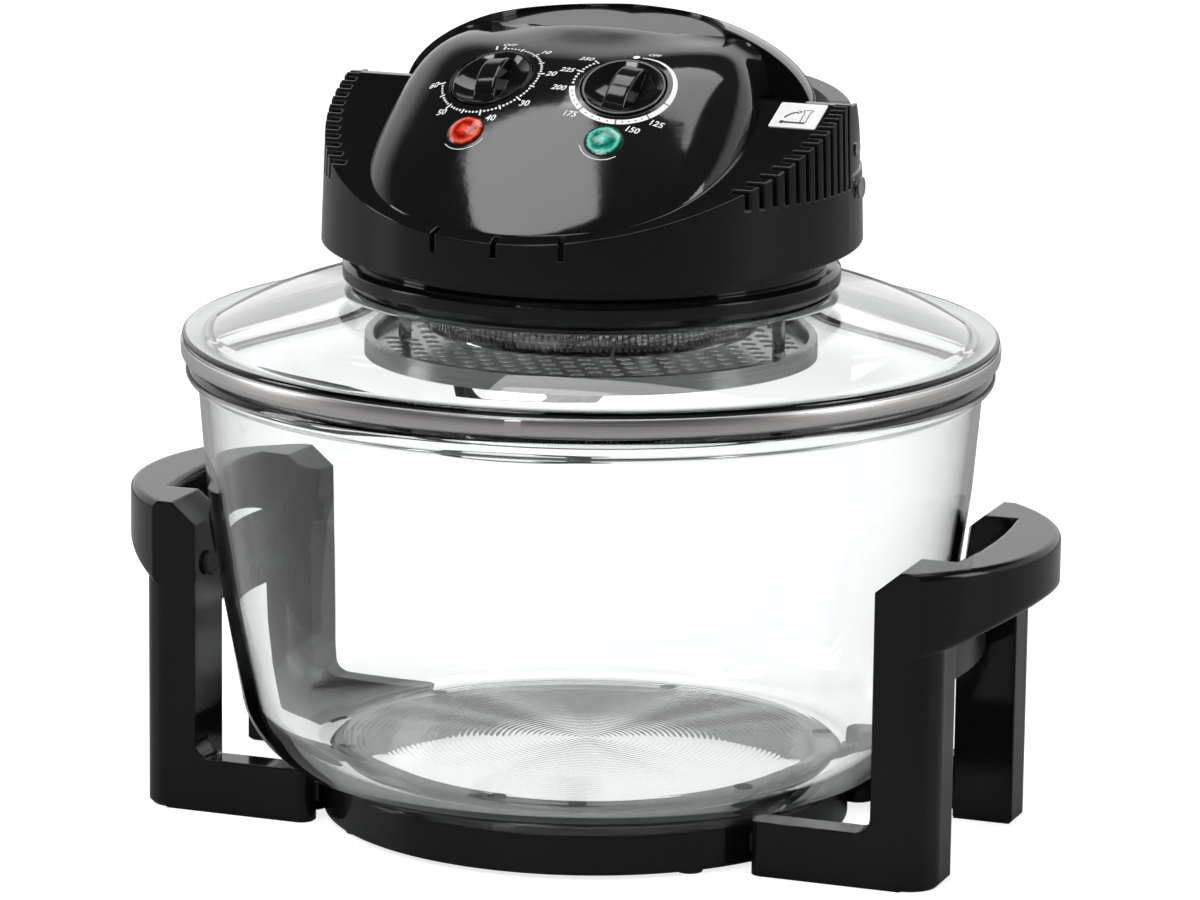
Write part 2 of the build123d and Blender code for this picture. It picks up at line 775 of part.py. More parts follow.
with BuildPart() as tongue:
    extrude(tongue_plan, amount=400)
    with BuildSketch(Plane.YZ):
        with BuildLine():
            y0, y1 = CREST_Y - 0.01, TONGUE_END_Y
            Polyline(
                (y0, panel_z(CREST_Y)),
                (y1, panel_z(y1)),
                (y1, panel_z(y1) - 3.0),
                (y0, panel_z(CREST_Y) - 3.0),
                close=True,
            )
        make_face()
    extrude(amount=100, both=True, mode=Mode.INTERSECT)

with BuildPart() as control_dome:
    add(dome_outer)
    add(dome_inner, mode=Mode.SUBTRACT)
    add(tongue.part)
    # the dome stands on the deck
    with BuildSketch(Plane.YZ):
        with BuildLine():
            Polyline(
                (-140, deck_z(-140)), (0, SHOULDER_Z), (60, SHOULDER_Z), (60, 200), (-140, 200),
                close=True,
            )
        make_face()
    extrude(amount=150, both=True, mode=Mode.SUBTRACT)
    for plane in DIAL_PLANES.values():
        with BuildSketch(plane):
            Circle(KNOB_R + 0.7)
        extrude(amount=20, mode=Mode.SUBTRACT)
    for plane in LENS_PLANES.values():
        with BuildSketch(plane):
            Circle(LENS_R)
        extrude(amount=12, both=True, mode=Mode.SUBTRACT)
save(control_dome.part, "control_dome")

# ---------------------------------------------------------------- cover fixings and the sign plate
with BuildPart() as side_screws:
    for side in (1, -1):
        with BuildSketch(Plane.YZ.offset(side * 103.0)):
            with Locations((SIDE_SCREW_Y, SIDE_SCREW_Z)):
                Circle(1.9)
        extrude(amount=side * 9.2)
        with BuildSketch(Plane.YZ.offset(side * 112.2)):
            with Locations((SIDE_SCREW_Y, SIDE_SCREW_Z)):
                Circle(4.5)
        extrude(amount=side * 0.8)
save(side_screws.part, "side_screws")

SIGN_SIZE = (20.0, 19.0, 0.5)
SIGN_SPOT = (93.0, -9.8)
deck_plane = Plane(
    origin=(SIGN_SPOT[0], SIGN_SPOT[1], deck_z(SIGN_SPOT[1])),
    x_dir=(1, 0, 0),
    z_dir=(0, -DECK_SLOPE, 1),
)
with BuildPart() as sign_plate:
    with BuildSketch(deck_plane):
        RectangleRounded(SIGN_SIZE[0], SIGN_SIZE[1], 0.8)
    extrude(amount=SIGN_SIZE[2])
save(sign_plate.part, "handle_sign")

# ---------------------------------------------------------------- carry handle
with BuildPart() as carry_handle:
    with BuildSketch(Plane.XY.offset(LEDGE_Z - 1)):
        Circle(BAIL_R_OUT)
        Circle(BAIL_R_IN, mode=Mode.SUBTRACT)
    extrude(amount=BAIL_TOP - LEDGE_Z + 1)
    with BuildSketch(Plane.YZ) as bail_side:
        with BuildLine():
            Polyline(
                (BAIL_Y, BAIL_Z - 8.0),
                (44, BAIL_LOW),
                (120, BAIL_LOW),
                (120, BAIL_TOP + 3.2),
                (48, BAIL_TOP - 4.5),
                (BAIL_Y - 3.5, BAIL_Z + 7.2),
            )
            ThreePointArc(
                (BAIL_Y - 3.5, BAIL_Z + 7.2), (BAIL_Y - 8.0, BAIL_Z), (BAIL_Y, BAIL_Z - 8.0)
            )
        make_face()
    extrude(amount=150, both=True, mode=Mode.INTERSECT)
    bottom = carry_handle.faces().filter_by(Axis.Z).sort_by(Axis.Z)[0]
    fillet(bottom.edges().filter_by(GeomType.CIRCLE), radius=2.6)
    top = carry_handle.faces().sort_by(Axis.Z)[-1]
    fillet(top.edges().filter_by(GeomType.LINE, reverse=True), radius=2.6)
    with BuildSketch(Plane.YZ.offset(-130)):
        with Locations((BAIL_Y, BAIL_Z)):
            Circle(BAIL_PIN_R + RUN_FIT)
    extrude(amount=260, mode=Mode.SUBTRACT)
save(carry_handle.part, "carry_handle")

with BuildPart() as handle_pins:
    for side in (1, -1):
        with BuildSketch(Plane.YZ.offset(side * 86.0)):
            with Locations((BAIL_Y, BAIL_Z)):
                Circle(BAIL_PIN_R)
        extrude(amount=side * 24.9)
save(handle_pins.part, "handle_pins")

# ---------------------------------------------------------------- knobs and their shafts
SHAFT_R = 3.0


KNOB_LOW = 0.4             # underside and rim above the dial's plane
KNOB_RIM = 7.9
KNOB_DISH = 2.2            # thickness at the middle of the dish
BAR_W = 9.6
BAR_TOP = 11.6
BAR_ROUND = 1.4


def knob(plane):
    """Round knob: a dished face with an arched bar across it."""
    dish_depth = KNOB_RIM - KNOB_LOW - KNOB_DISH
    dish_rim = KNOB_R - 1.0
    dish_r = (dish_rim**2 + dish_depth**2) / (2 * dish_depth)
    side = Plane(origin=plane.origin, x_dir=plane.y_dir, z_dir=plane.x_dir)
    with BuildPart() as bar:
        with BuildSketch(side):
            with BuildLine():
                Polyline((-12, 8.6), (-15.6, 3), (-15.6, 1), (15.6, 1), (15.6, 3), (12, 8.6))
                ThreePointArc((-12, 8.6), (0, BAR_TOP), (12, 8.6))
            make_face()
        extrude(amount=BAR_W / 2, both=True)
        fillet(bar.edges().filter_by(GeomType.CIRCLE), radius=BAR_ROUND)
    with BuildPart() as body:
        with BuildSketch(plane.offset(KNOB_LOW)):
            Circle(KNOB_R)
        extrude(amount=KNOB_RIM - KNOB_LOW)
        centre = plane.offset(KNOB_LOW + KNOB_DISH + dish_r)
        with Locations(centre.location):
            Sphere(dish_r, mode=Mode.SUBTRACT)
        add(bar.part)
        with BuildSketch(plane.offset(-2)):
            Circle(SHAFT_R)
        extrude(amount=6.0, mode=Mode.SUBTRACT)
    return body.part


for name, plane in DIAL_PLANES.items():
    save(knob(plane), f"{name}_knob")
    with BuildPart() as shaft:
        with BuildSketch(plane.offset(4.0)):
            Circle(SHAFT_R)
        extrude(amount=-16.0)
    save(shaft.part, f"{name}_shaft")


def mechanism(plane, width, length, depth):
    """Case behind a dial, with a bore for the shaft and a collar up to the panel."""
    with BuildPart() as case:
        with BuildSketch(plane.offset(-5.0)):
            RectangleRounded(width, length, 3.0)
        extrude(amount=-depth)
        with BuildSketch(plane.offset(-5.0)):
            Circle(5.6)
        extrude(amount=2.2)
        with BuildSketch(plane):
            Circle(SHAFT_R + RUN_FIT)
        extrude(amount=-14.0, mode=Mode.SUBTRACT)
    return case.part


save(mechanism(DIAL_PLANES["timer"], 34, 34, 17), "timer_case")
save(mechanism(DIAL_PLANES["temp"], 30, 34, 13), "thermostat_case")

# ---------------------------------------------------------------- lenses and indicator lamps
LENS_CROWN = 1.5           # rise of the lens's domed face


def lens_body(plane):
    """Round lens with a low domed face."""
    crown_r = ((LENS_R - 0.2) ** 2 + LENS_CROWN**2) / (2 * LENS_CROWN)
    with BuildPart() as ball:
        with Locations(plane.offset(0.4 + LENS_CROWN - crown_r).location):
            Sphere(crown_r)
    with BuildPart() as lens:
        with BuildSketch(plane.offset(-2.0)):
            Circle(LENS_R - 0.2)
        extrude(amount=5.0)
        add(ball.part, mode=Mode.INTERSECT)
    return lens.part


for name, plane in LENS_PLANES.items():
    save(lens_body(plane), f"{name}_lens")
    with BuildPart() as lamp:
        with BuildSketch(plane.offset(-2.0)):
            Circle(5.0)
        extrude(amount=-13.0)
    save(lamp.part, f"{name}_indicator")

# ---------------------------------------------------------------- head internals
with BuildPart() as heat_shield:
    with BuildSketch(Plane.XY.offset(LID_TOP_Z)):
        Circle(87.6)
        Circle(7.0, mode=Mode.SUBTRACT)
    extrude(amount=0.9)
save(heat_shield.part, "heat_shield")

PLATE_T = 1.4
with BuildPart() as motor_plate:
    with BuildSketch(Plane.XY.offset(NECK_TOP)):
        Circle(107.0)
        Circle(8.3, mode=Mode.SUBTRACT)
        with PolarLocations(60, 10):
            Circle(9.0, mode=Mode.SUBTRACT)
    extrude(amount=PLATE_T)
    for side in (1, -1):
        with BuildSketch(Plane.XY.offset(NECK_TOP)):
            with Locations((side * 105.0, SIDE_SCREW_Y)):
                Rectangle(PLATE_T, 12.0)
        extrude(amount=24.0)
    with BuildSketch(Plane.YZ.offset(-130)):
        with Locations((SIDE_SCREW_Y, SIDE_SCREW_Z)):
            Circle(1.9)
    extrude(amount=260, mode=Mode.SUBTRACT)
save(motor_plate.part, "motor_plate")

MOTOR_R = 27.0
MOTOR_TOP = 280.0
FAN_SHAFT_R = 2.5
with BuildPart() as motor:
    with BuildSketch(Plane.XY.offset(NECK_TOP + PLATE_T)):
        Circle(MOTOR_R)
    extrude(amount=MOTOR_TOP - NECK_TOP - PLATE_T)
    fillet(motor.edges().sort_by(Axis.Z)[-1:], radius=2.0)
    with BuildSketch(Plane.XY.offset(NECK_TOP - 4.0)):
        Circle(8.0)
    extrude(amount=4.0 + PLATE_T)
    with BuildSketch(Plane.XY.offset(NECK_TOP - 4.0)):
        Circle(FAN_SHAFT_R + RUN_FIT)
    extrude(amount=20.0, mode=Mode.SUBTRACT)
save(motor.part, "fan_motor")

with BuildPart() as fan_shaft:
    with BuildSketch(Plane.XY.offset(211.0)):
        Circle(FAN_SHAFT_R)
    extrude(amount=NECK_TOP + 14.0 - 211.0)
save(fan_shaft.part, "fan_shaft")


def fan(low, height, hub_r, tip_r, blades):
    """Radial fan with a hub that grips the shaft."""
    with BuildPart() as body:
        with BuildSketch(Plane.XY.offset(low)):
            Circle(tip_r - 2)
        extrude(amount=1.0)
        with BuildSketch(Plane.XY.offset(low)):
            Circle(hub_r)
            with PolarLocations((hub_r + tip_r) / 2 - 1, blades):
                Rectangle(tip_r - hub_r + 2, 1.2)
        extrude(amount=height)
        with BuildSketch(Plane.XY.offset(low - 1)):
            Circle(FAN_SHAFT_R)
        extrude(amount=height + 2, mode=Mode.SUBTRACT)
    return body.part


save(fan(213.0, 11.0, 8.0, 52.0, 12), "hot_air_fan")
save(fan(231.5, 11.0, 7.0, 68.0, 9), "cooling_fan")

with BuildPart() as terminal_block:
    with BuildSketch(Plane.XY.offset(NECK_TOP + PLATE_T)):
        with Locations((0, 64)):
            RectangleRounded(34, 13, 1.5)
    extrude(amount=11.0)
    with BuildSketch(Plane.XY.offset(NECK_TOP + PLATE_T + 11.0)):
        with Locations((0, 64)):
            with GridLocations(8.5, 1, 4, 1):
                Circle(2.2)
    extrude(amount=-5.0, mode=Mode.SUBTRACT)
save(terminal_block.part, "terminal_block")

with BuildPart() as safety_switch:
    with BuildSketch(Plane.XY.offset(NECK_TOP + PLATE_T)):
        with Locations(SWITCH_SPOT):
            RectangleRounded(7, 18, 1.0)
    extrude(amount=SWITCH_TOP - NECK_TOP - PLATE_T)
save(safety_switch.part, "safety_switch")

with BuildPart() as switch_plunger:
    with BuildSketch(Plane.XY.offset(SWITCH_TOP)):
        with Locations(SWITCH_SPOT):
            Circle(PLUNGER_R)
    extrude(amount=287.6 - SWITCH_TOP)
save(switch_plunger.part, "switch_plunger")

# ---------------------------------------------------------------- heater under the lid
LAMP_GAP = 24.0            # degrees left open for the lamp's holders, at the back
LAMP_START = 90.0 + LAMP_GAP / 2


def ring_tube(outer, inner):
    """Open ring of tube, or of wire when inner is None."""
    start = Plane.XZ.rotated((0, 0, LAMP_START))
    with BuildPart() as tube:
        with BuildSketch(start):
            with Locations((LAMP_R, LAMP_Z)):
                Circle(outer)
                if inner:
                    Circle(inner, mode=Mode.SUBTRACT)
        revolve(axis=Axis.Z, revolution_arc=360 - LAMP_GAP)
    return tube.part


save(ring_tube(LAMP_TUBE_R, LAMP_TUBE_R - 1.1), "halogen_lamp")
save(ring_tube(1.3, None), "lamp_filament")

with BuildPart() as lamp_holders:
    for a in (90 - LAMP_GAP / 2 + 4.6, 90 + LAMP_GAP / 2 - 4.6):
        c, s = LAMP_R * cos(radians(a)), LAMP_R * sin(radians(a))
        with BuildSketch(Plane.XY.offset(LAMP_Z - 7)):
            with Locations(Location((c, s, 0), (0, 0, a))):
                RectangleRounded(13, 9.4, 2.0)
        extrude(amount=LID_TOP_Z - LAMP_Z + 7)
save(lamp_holders.part, "lamp_holders")

GUARD_PLATE_Z = 201.4
GUARD_PLATE_T = 0.9
STANDOFF_ANGLES = (12.9, 102.9, 192.9)
hole_spots = []
rows = int(GUARD_R / (GUARD_PITCH * 0.866)) + 1
for row in range(-rows, rows + 1):
    for col in range(-12, 13):
        spot = ((col + 0.5 * (row % 2)) * GUARD_PITCH, row * GUARD_PITCH * 0.866)
        near = min(hypot(spot[0] - STANDOFF_R * cos(radians(a)), spot[1] - STANDOFF_R * sin(radians(a)))
                   for a in STANDOFF_ANGLES)
        if hypot(*spot) < GUARD_R - 9.5 and near > GUARD_HOLE_R + 3.6:
            hole_spots.append(spot)
with BuildPart() as guard_plate:
    with BuildSketch(Plane.XY.offset(GUARD_PLATE_Z)):
        Circle(GUARD_R - 4.0)
        with Locations(*hole_spots):
            Circle(GUARD_HOLE_R, mode=Mode.SUBTRACT)
    extrude(amount=GUARD_PLATE_T)
    with BuildSketch(Plane.XZ):
        with BuildLine():
            z = GUARD_PLATE_Z
            Polyline(
                (GUARD_R - 4.5, z), (GUARD_R - 3.0, GUARD_LOW), (GUARD_R, GUARD_LOW),
                (GUARD_R, GUARD_TOP), (GUARD_R - 3.4, GUARD_TOP), (GUARD_R - 3.4, GUARD_TOP - 1.0),
                (GUARD_R - 1.0, GUARD_TOP - 1.0), (GUARD_R - 1.0, GUARD_LOW + 1.0),
                (GUARD_R - 2.6, GUARD_LOW + 1.0), (GUARD_R - 4.0, z + GUARD_PLATE_T),
                (GUARD_R - 4.5, z + GUARD_PLATE_T), close=True,
            )
        make_face()
    revolve(axis=Axis.Z)
save(guard_plate.part, "guard_plate")

with BuildPart() as guard_standoffs:
    for a in STANDOFF_ANGLES:
        with BuildSketch(Plane.XY.offset(GUARD_PLATE_Z + GUARD_PLATE_T)):
            with Locations((STANDOFF_R * cos(radians(a)), STANDOFF_R * sin(radians(a)))):
                Circle(2.7)
        extrude(amount=LID_TOP_Z - GUARD_PLATE_Z - GUARD_PLATE_T)
save(guard_standoffs.part, "guard_standoffs")

# ---------------------------------------------------------------- cord, coiled and hung behind the bowl
CORD_SIDE = Vector(CORD_OUT.Y, -CORD_OUT.X, 0)


def behind(out, side, z):
    """A place given by its distance out from the head's axis, sideways and up."""
    return CORD_OUT * out + CORD_SIDE * side + Vector(0, 0, z)


LEAD_ROUTE = [(139, 0, 262), (166, 0, 258), (184.4, 14.5, 241.9), (182, 29, 217.4), (182, 29, 198)]
lead_points = [behind(*p) for p in LEAD_ROUTE]
relief_tip = Plane(origin=lead_points[0], z_dir=lead_points[1] - lead_points[0])

with BuildPart() as strain_relief:
    with BuildSketch(CORD_PLANE.offset(102.0)):
        Circle(8.0)
    extrude(amount=6.6)
    with BuildSketch(CORD_PLANE.offset(108.6)):
        Circle(RELIEF_NECK_R)
    extrude(amount=5.0)
    with BuildSketch(CORD_PLANE.offset(113.6)):
        Circle(7.4)
    with BuildSketch(relief_tip):
        Circle(4.0)
    loft(ruled=True)
save(strain_relief.part, "strain_relief")



def route_radii(points):
    """The largest arc that each corner's two runs allow."""
    radii = []
    for a, b, c in zip(points, points[1:], points[2:]):
        turn = (b - a).get_angle(c - b)
        radii.append(0.45 * min((b - a).length, (c - b).length) / tan(radians(turn / 2)))
    return radii


lead_radii = route_radii(lead_points)
print("lead radii", [round(r, 1) for r in lead_radii])
with BuildLine() as lead_line:
    FilletPolyline(*lead_points, radius=lead_radii)


def tube(wire, radius=CORD_D / 2):
    """Round tube along a wire."""
    with BuildPart() as body:
        with BuildSketch(Plane(origin=wire @ 0, z_dir=wire % 0)):
            Circle(radius)
        sweep(path=wire)
    return body.part


lead = tube(lead_line.wire())
section = pi * (CORD_D / 2) ** 2
print("lead volume / section x length", round(lead.volume / (section * lead_line.wire().length), 4))
save(lead, "cord_lead")

COIL_R = 29.0              # half turns at top and bottom of each loop
COIL_PITCH = 7.2
COIL_LOOPS = 4
COIL_OUT = 182.0           # the first loop hangs here, just outside the lid's rim
COIL_START_Z = 198.0
COIL_LOW_FIRST = 163.5     # the first loop hangs lowest
COIL_LOW = 170.0
COIL_HIGH = 206.0
COIL_END_Z = 190.0

coil_edges = []


def half_turn(out, z, way):
    """Half turn in the upright plane at this distance out: way +1 over the top, -1 under."""
    side = -COIL_R * way
    start, mid, end = behind(out, side, z), behind(out, 0, z + COIL_R * way), behind(out, -side, z)
    return Edge.make_three_point_arc(start, mid, end)


def climb(out, side, z0, z1):
    """Upright run that also steps out by one pitch, on two equal arcs."""
    phi = 2 * atan(COIL_PITCH / (z1 - z0))
    mid = behind(out + COIL_PITCH / 2, side, (z0 + z1) / 2)
    first = Edge.make_tangent_arc(behind(out, side, z0), Vector(0, 0, 1), mid)
    heading = CORD_OUT * sin(phi) + Vector(0, 0, cos(phi))
    second = Edge.make_tangent_arc(mid, heading, behind(out + COIL_PITCH, side, z1))
    return [first, second]


out = COIL_OUT
top_z, low_z = COIL_START_Z, COIL_LOW_FIRST
for loop in range(COIL_LOOPS):
    coil_edges.append(Edge.make_line(behind(out, COIL_R, top_z), behind(out, COIL_R, low_z)))
    coil_edges.append(half_turn(out, low_z, -1))
    if low_z < COIL_LOW:
        coil_edges.append(Edge.make_line(behind(out, -COIL_R, low_z), behind(out, -COIL_R, COIL_LOW)))
    coil_edges += climb(out, -COIL_R, COIL_LOW, COIL_HIGH)
    out += COIL_PITCH
    coil_edges.append(half_turn(out, COIL_HIGH, 1))
    top_z, low_z = COIL_HIGH, COIL_LOW
coil_edges.append(Edge.make_line(behind(out, COIL_R, COIL_HIGH), behind(out, COIL_R, COIL_END_Z)))
coil_wire = Wire(coil_edges)

spacing = 2.5
count = int(coil_wire.length / spacing)
samples = [coil_wire @ (k / count) for k in range(count + 1)]
skip = int(30 / spacing)
least = min(
    (samples[i] - samples[j]).length
    for i in range(0, count + 1)
    for j in range(i + skip, count + 1)
)
print("coil length", round(coil_wire.length, 1), "least gap to itself", round(least - CORD_D, 2))
coil = tube(coil_wire)
print("coil volume / section x length", round(coil.volume / (section * coil_wire.length), 4))
save(coil, "cord_coil")

coil_end = out
PLUG_Z = 159.0
PLUG_R = 17.0
PLUG_T = 15.0
PLUG_FRONT = coil_end - 2.9
BOOT_TOP = 184.0
with BuildLine() as tail_line:
    Line(behind(coil_end, COIL_R, COIL_END_Z), behind(coil_end, COIL_R, BOOT_TOP))
save(tube(tail_line.wire()), "cord_tail")
print("cord length", round(lead_line.wire().length + coil_wire.length + COIL_END_Z - BOOT_TOP, 1))

plug_plane = Plane(
    origin=behind(PLUG_FRONT, COIL_R, PLUG_Z), x_dir=CORD_SIDE, z_dir=CORD_OUT
)
boot_plane = Plane(origin=behind(coil_end + 1.2, COIL_R, PLUG_Z + 14), x_dir=CORD_SIDE, z_dir=(0, 0, 1))
boot_tip = Plane(origin=behind(coil_end, COIL_R, BOOT_TOP), x_dir=CORD_SIDE, z_dir=(0, 0, 1))
with BuildPart() as plug:
    with BuildSketch(plug_plane):
        Circle(PLUG_R)
    extrude(amount=PLUG_T)
    fillet(plug.edges().filter_by(GeomType.CIRCLE), radius=2.0)
    with BuildSketch(boot_plane):
        Circle(4.1)
    with BuildSketch(boot_tip):
        Circle(3.8)
    loft(ruled=True)
save(plug.part, "plug_body")

with BuildPart() as plug_pins:
    with BuildSketch(plug_plane.offset(PLUG_T)):
        with Locations((-9.5, 0), (9.5, 0)):
            Circle(2.4)
    extrude(amount=19.0)
    fillet(plug_pins.edges().group_by(Axis((0, 0, 0), CORD_OUT))[-1], radius=1.0)
save(plug_pins.part, "plug_pins")

TIE_Z = 183.0              # the tie holds the rising side of the loops
TIE_OUT = COIL_OUT + 2.6
TIE_LENGTH = (COIL_LOOPS - 1) * COIL_PITCH + 9.0
TIE_WIDTH = 7.2
TIE_T = 1.2
tie_plane = Plane(
    origin=behind(TIE_OUT + (COIL_LOOPS - 1) * COIL_PITCH / 2, -COIL_R, TIE_Z),
    x_dir=CORD_OUT,
    z_dir=(0, 0, 1),
)
with BuildPart() as cord_tie:
    with BuildSketch(tie_plane):
        SlotOverall(TIE_LENGTH + 2 * TIE_T, TIE_WIDTH + 2 * TIE_T)
        SlotOverall(TIE_LENGTH, TIE_WIDTH, mode=Mode.SUBTRACT)
    extrude(amount=5.0)
save(cord_tie.part, "cord_tie")
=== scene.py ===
"""Halogen oven dressed for the camera. Metres, the row's own frame: +Z up, the panel faces -Y."""
from math import atan2, cos, hypot, pi, radians, sin, sqrt

import bmesh
import bpy
from mathutils import Matrix, Vector
from mathutils.bvhtree import BVHTree


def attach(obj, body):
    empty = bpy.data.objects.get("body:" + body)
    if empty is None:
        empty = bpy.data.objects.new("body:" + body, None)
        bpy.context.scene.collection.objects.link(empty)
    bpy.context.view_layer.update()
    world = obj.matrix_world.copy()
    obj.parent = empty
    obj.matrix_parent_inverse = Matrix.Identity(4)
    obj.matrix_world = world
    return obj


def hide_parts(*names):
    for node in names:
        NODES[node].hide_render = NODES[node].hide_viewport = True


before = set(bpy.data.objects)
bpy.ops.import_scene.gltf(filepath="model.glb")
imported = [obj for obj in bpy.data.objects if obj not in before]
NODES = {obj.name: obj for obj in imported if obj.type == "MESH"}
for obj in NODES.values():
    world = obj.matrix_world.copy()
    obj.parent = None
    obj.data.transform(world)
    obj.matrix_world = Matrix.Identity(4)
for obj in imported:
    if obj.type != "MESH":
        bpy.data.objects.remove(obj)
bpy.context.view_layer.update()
MM = 0.001


# ---------------------------------------------------------------- camera
def make_camera():
    """Camera at the photograph's angle."""
    a, e, r = radians(20.55), radians(12.27), radians(0.69)
    back = Vector((sin(a) * cos(e), -cos(a) * cos(e), sin(e)))
    right = Vector((cos(a), sin(a), 0))
    up = back.cross(right)
    right, up = right * cos(r) + up * sin(r), up * cos(r) - right * sin(r)
    target = Vector((cos(a), sin(a), 0)) * 0.0043 + Vector((0, 0, 0.1555))
    place = target + back * 2.523
    turn = Matrix((right, up, back)).transposed().to_4x4()
    data = bpy.data.cameras.new("photo_camera")
    data.sensor_fit = "HORIZONTAL"
    data.sensor_width = 36
    data.lens = 180
    data.clip_end = 60
    cam = bpy.data.objects.new("photo_camera", data)
    cam.matrix_world = Matrix.Translation(place) @ turn
    bpy.context.collection.objects.link(cam)
    bpy.context.scene.camera = cam


make_camera()

# ---------------------------------------------------------------- node helpers


class Mat:
    """A node material with a few short ways to add nodes."""

    def __init__(self, name):
        self.mat = bpy.data.materials.new(name)
        self.mat.use_nodes = True
        self.tree = self.mat.node_tree
        self.bsdf = self.tree.nodes["Principled BSDF"]
        self.out = self.tree.nodes["Material Output"]

    def node(self, kind, **values):
        n = self.tree.nodes.new(kind)
        for key, value in values.items():
            if hasattr(n, key):
                setattr(n, key, value)
            else:
                n.inputs[key.replace("_", " ")].default_value = value
        return n

    def link(self, a, b):
        self.tree.links.new(a, b)

    def set(self, **values):
        for key, value in values.items():
            self.bsdf.inputs[key.replace("_", " ")].default_value = value

    def coords(self, scale=(1, 1, 1)):
        tc = self.node("ShaderNodeTexCoord")
        m = self.node("ShaderNodeMapping")
        m.inputs["Scale"].default_value = scale
        self.link(tc.outputs["Object"], m.inputs["Vector"])
        return m.outputs["Vector"]

    def noise(self, scale, detail=4.0, rough=0.5, vector=None):
        n = self.node("ShaderNodeTexNoise")
        n.inputs["Scale"].default_value = scale
        n.inputs["Detail"].default_value = detail
        n.inputs["Roughness"].default_value = rough
        self.link(vector or self.coords(), n.inputs["Vector"])
        return n.outputs["Fac"]

    def span(self, value, low, high, start=0.3, end=0.7):
        m = self.node("ShaderNodeMapRange")
        m.inputs["From Min"].default_value = start
        m.inputs["From Max"].default_value = end
        m.inputs["To Min"].default_value = low
        m.inputs["To Max"].default_value = high
        self.link(value, m.inputs["Value"])
        return m.outputs["Result"]

    def mix(self, fac, a, b):
        m = self.node("ShaderNodeMix", data_type="RGBA")
        self.link(fac, m.inputs["Factor"])
        m.inputs["A"].default_value = (*a, 1)
        m.inputs["B"].default_value = (*b, 1)
        return m.outputs["Result"]

    def bump(self, height, strength, distance):
        b = self.node("ShaderNodeBump")
        b.inputs["Strength"].default_value = strength
        b.inputs["Distance"].default_value = distance
        self.link(height, b.inputs["Height"])
        self.link(b.outputs["Normal"], self.bsdf.inputs["Normal"])
        return b

    def soften(self, bump, radius):
        """Rounds the look of sharp edges."""
        soft = self.node("ShaderNodeBevel")
        soft.samples = 6
        soft.inputs["Radius"].default_value = radius
        self.link(soft.outputs["Normal"], bump.inputs["Normal"])


def gloss_plastic(name, dark, light, rough=(0.05, 0.11), peel=0.05, edge=0.0007, shine=0.5):
    """Moulded glossy plastic: faint colour drift, orange peel, dust that dulls the gloss."""
    m = Mat(name)
    m.link(m.mix(m.span(m.noise(9, 6), 0, 1), dark, light), m.bsdf.inputs["Base Color"])
    m.link(m.span(m.noise(38, 8, 0.6), *rough), m.bsdf.inputs["Roughness"])
    m.soften(m.bump(m.noise(420, 3), peel, 0.0002), edge)
    m.set(Specular_IOR_Level=shine)
    return m.mat


def satin_plastic(name, dark, light, rough=(0.35, 0.5)):
    """Fine-grained matt moulding."""
    m = Mat(name)
    m.link(m.mix(m.span(m.noise(14, 6), 0, 1), dark, light), m.bsdf.inputs["Base Color"])
    m.link(m.span(m.noise(60, 6), *rough), m.bsdf.inputs["Roughness"])
    m.bump(m.noise(1400, 4, 0.6), 0.25, 0.0002)
    return m.mat


def ring_metal(name, color=(0.60, 0.60, 0.61), rough=(0.18, 0.32), across=False):
    """Steel brushed round the upright axis (or across it), with streaks in its gloss."""
    m = Mat(name)
    tc = m.node("ShaderNodeTexCoord")
    sep = m.node("ShaderNodeSeparateXYZ")
    m.link(tc.outputs["Object"], sep.inputs["Vector"])
    angle = m.node("ShaderNodeMath", operation="ARCTAN2")
    m.link(sep.outputs["Y"], angle.inputs[0])
    m.link(sep.outputs["X"], angle.inputs[1])
    length = m.node("ShaderNodeVectorMath", operation="LENGTH")
    flat = m.node("ShaderNodeCombineXYZ")
    m.link(sep.outputs["X"], flat.inputs["X"])
    m.link(sep.outputs["Y"], flat.inputs["Y"])
    m.link(flat.outputs["Vector"], length.inputs[0])
    comb = m.node("ShaderNodeCombineXYZ")
    m.link(angle.outputs["Value"], comb.inputs["X"])
    m.link(sep.outputs["Z"], comb.inputs["Y"])
    m.link(length.outputs["Value"], comb.inputs["Z"])
    mp = m.node("ShaderNodeMapping")
    mp.inputs["Scale"].default_value = (40, 900, 900) if across else (1.2, 2600, 2600)
    m.link(comb.outputs["Vector"], mp.inputs["Vector"])
    streak = m.noise(1.0, 5, 0.65, mp.outputs["Vector"])
    tone = tuple(c * 0.82 for c in color)
    m.link(m.mix(m.span(streak, 0, 1), tone, color), m.bsdf.inputs["Base Color"])
    m.link(m.span(streak, *rough), m.bsdf.inputs["Roughness"])
    m.set(Metallic=1.0)
    m.bump(streak, 0.12, 0.0002)
    return m.mat


def plain_metal(name, color, rough=(0.18, 0.35), scale=60):
    """Stamped or turned metal with a faint grain."""
    m = Mat(name)
    grain = m.noise(scale, 8, 0.6)
    tone = tuple(c * 0.8 for c in color)
    m.link(m.mix(m.span(grain, 0, 1), tone, color), m.bsdf.inputs["Base Color"])
    m.link(m.span(grain, *rough), m.bsdf.inputs["Roughness"])
    m.set(Metallic=1.0)
    m.bump(m.noise(900, 3), 0.08, 0.0002)
    return m.mat


